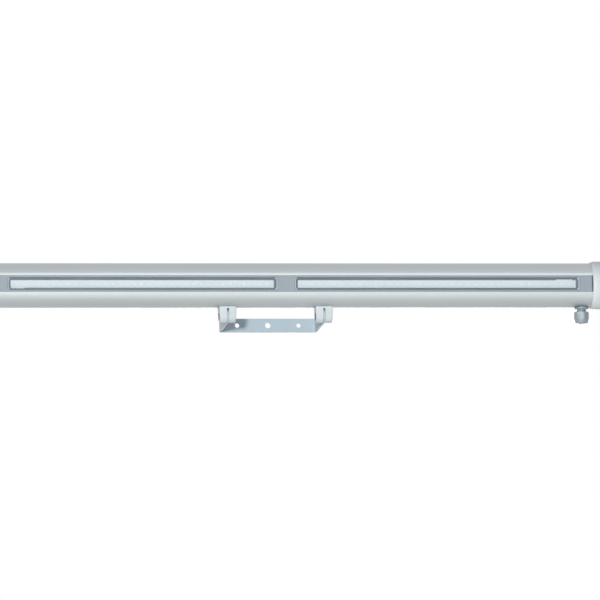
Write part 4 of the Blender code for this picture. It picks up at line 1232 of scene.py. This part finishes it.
# %% [markdown]
# ## Light and floor
#
# The photograph is lit from the front, softly, on plain white.
# The world's light is weak and even, yet white to the camera, in reflections and through glass.
# A lamp from the left throws the soft shadow on the bracket.
# A wide one low in front lays the bright band along the tube, and a high one its thin top edge.
# A fourth stands behind, so that the back can be judged as well.
# White paper curved under the object could do the same as this floor and world together.

# %% White surroundings
def seen_directly(nodes):
    """1 for rays from the camera, in reflections and through glass, else 0."""
    seen = nodes.node("ShaderNodeLightPath", output="Is Camera Ray")
    for kind in ("Is Glossy Ray", "Is Transmission Ray"):
        other = nodes.node("ShaderNodeLightPath", output=kind)
        seen = nodes.node("ShaderNodeMath", {"operation": "MAXIMUM"}, {0: seen, 1: other})
    return seen


def surroundings(level):
    """An even world of the given strength that looks white itself."""
    world = bpy.data.worlds.new("studio")
    bpy.context.scene.world = world
    world.use_nodes = True
    nodes = Nodes(world.node_tree)
    strength = level + seen_directly(nodes) * (1.0 - level)
    background = nodes.tree.nodes["Background"]
    background.inputs["Color"].default_value = (1.0, 1.0, 1.0, 1.0)
    nodes.tree.links.new(strength.socket, background.inputs["Strength"])


LAMP_AIM = Vector((0.0, -0.1, 0.03))


def soft_lamp(name, spot, watts, size):
    """A square area lamp that faces the object."""
    data = bpy.data.lights.new(name, "AREA")
    data.energy = watts
    data.size = size
    lamp = bpy.data.objects.new(name, data)
    bpy.context.scene.collection.objects.link(lamp)
    lamp.location = spot
    away = Vector(spot) - LAMP_AIM
    lamp.rotation_euler = away.to_track_quat("Z", "Y").to_euler()


surroundings(0.18)
soft_lamp("left_lamp", (-3.9, -11.2, -0.75), 865.0, 0.9)
soft_lamp("low_lamp", (0.1, -2.2, -3.3), 36.0, 2.6)
soft_lamp("high_lamp", (0.73, -4.5, 2.2), 27.0, 0.8)
soft_lamp("back_lamp", (1.3, 5.6, 0.3), 120.0, 1.2)
print("lamps:", len(bpy.data.lights))

# %% Pale floor
def floor(depth, reach):
    """A pale floor that takes the object's shadow, and looks white itself."""
    mesh = bmesh.new()
    bmesh.ops.create_grid(mesh, x_segments=1, y_segments=1, size=reach)
    plane = as_object("floor", mesh, Matrix.Translation((0.0, 0.0, depth)))
    paint = Paint("pale_floor", (0.9, 0.9, 0.9), 0.8)
    glow = paint.node("ShaderNodeEmission", {}, {"Strength": 1.08})
    matt = Wire(paint, paint.shader.outputs[0])
    sockets = {0: seen_directly(paint) * 0.9, 1: matt, 2: glow}
    blend = paint.node("ShaderNodeMixShader", {}, sockets)
    output = paint.tree.nodes["Material Output"]
    paint.tree.links.new(blend.socket, output.inputs["Surface"])
    plane.data.materials.append(paint.material)


floor(-3.6, 6.0)
bpy.context.scene.view_settings.view_transform = "Standard"
print("floor placed")

# %% [markdown]
# ## End of the scene


print("scene built")
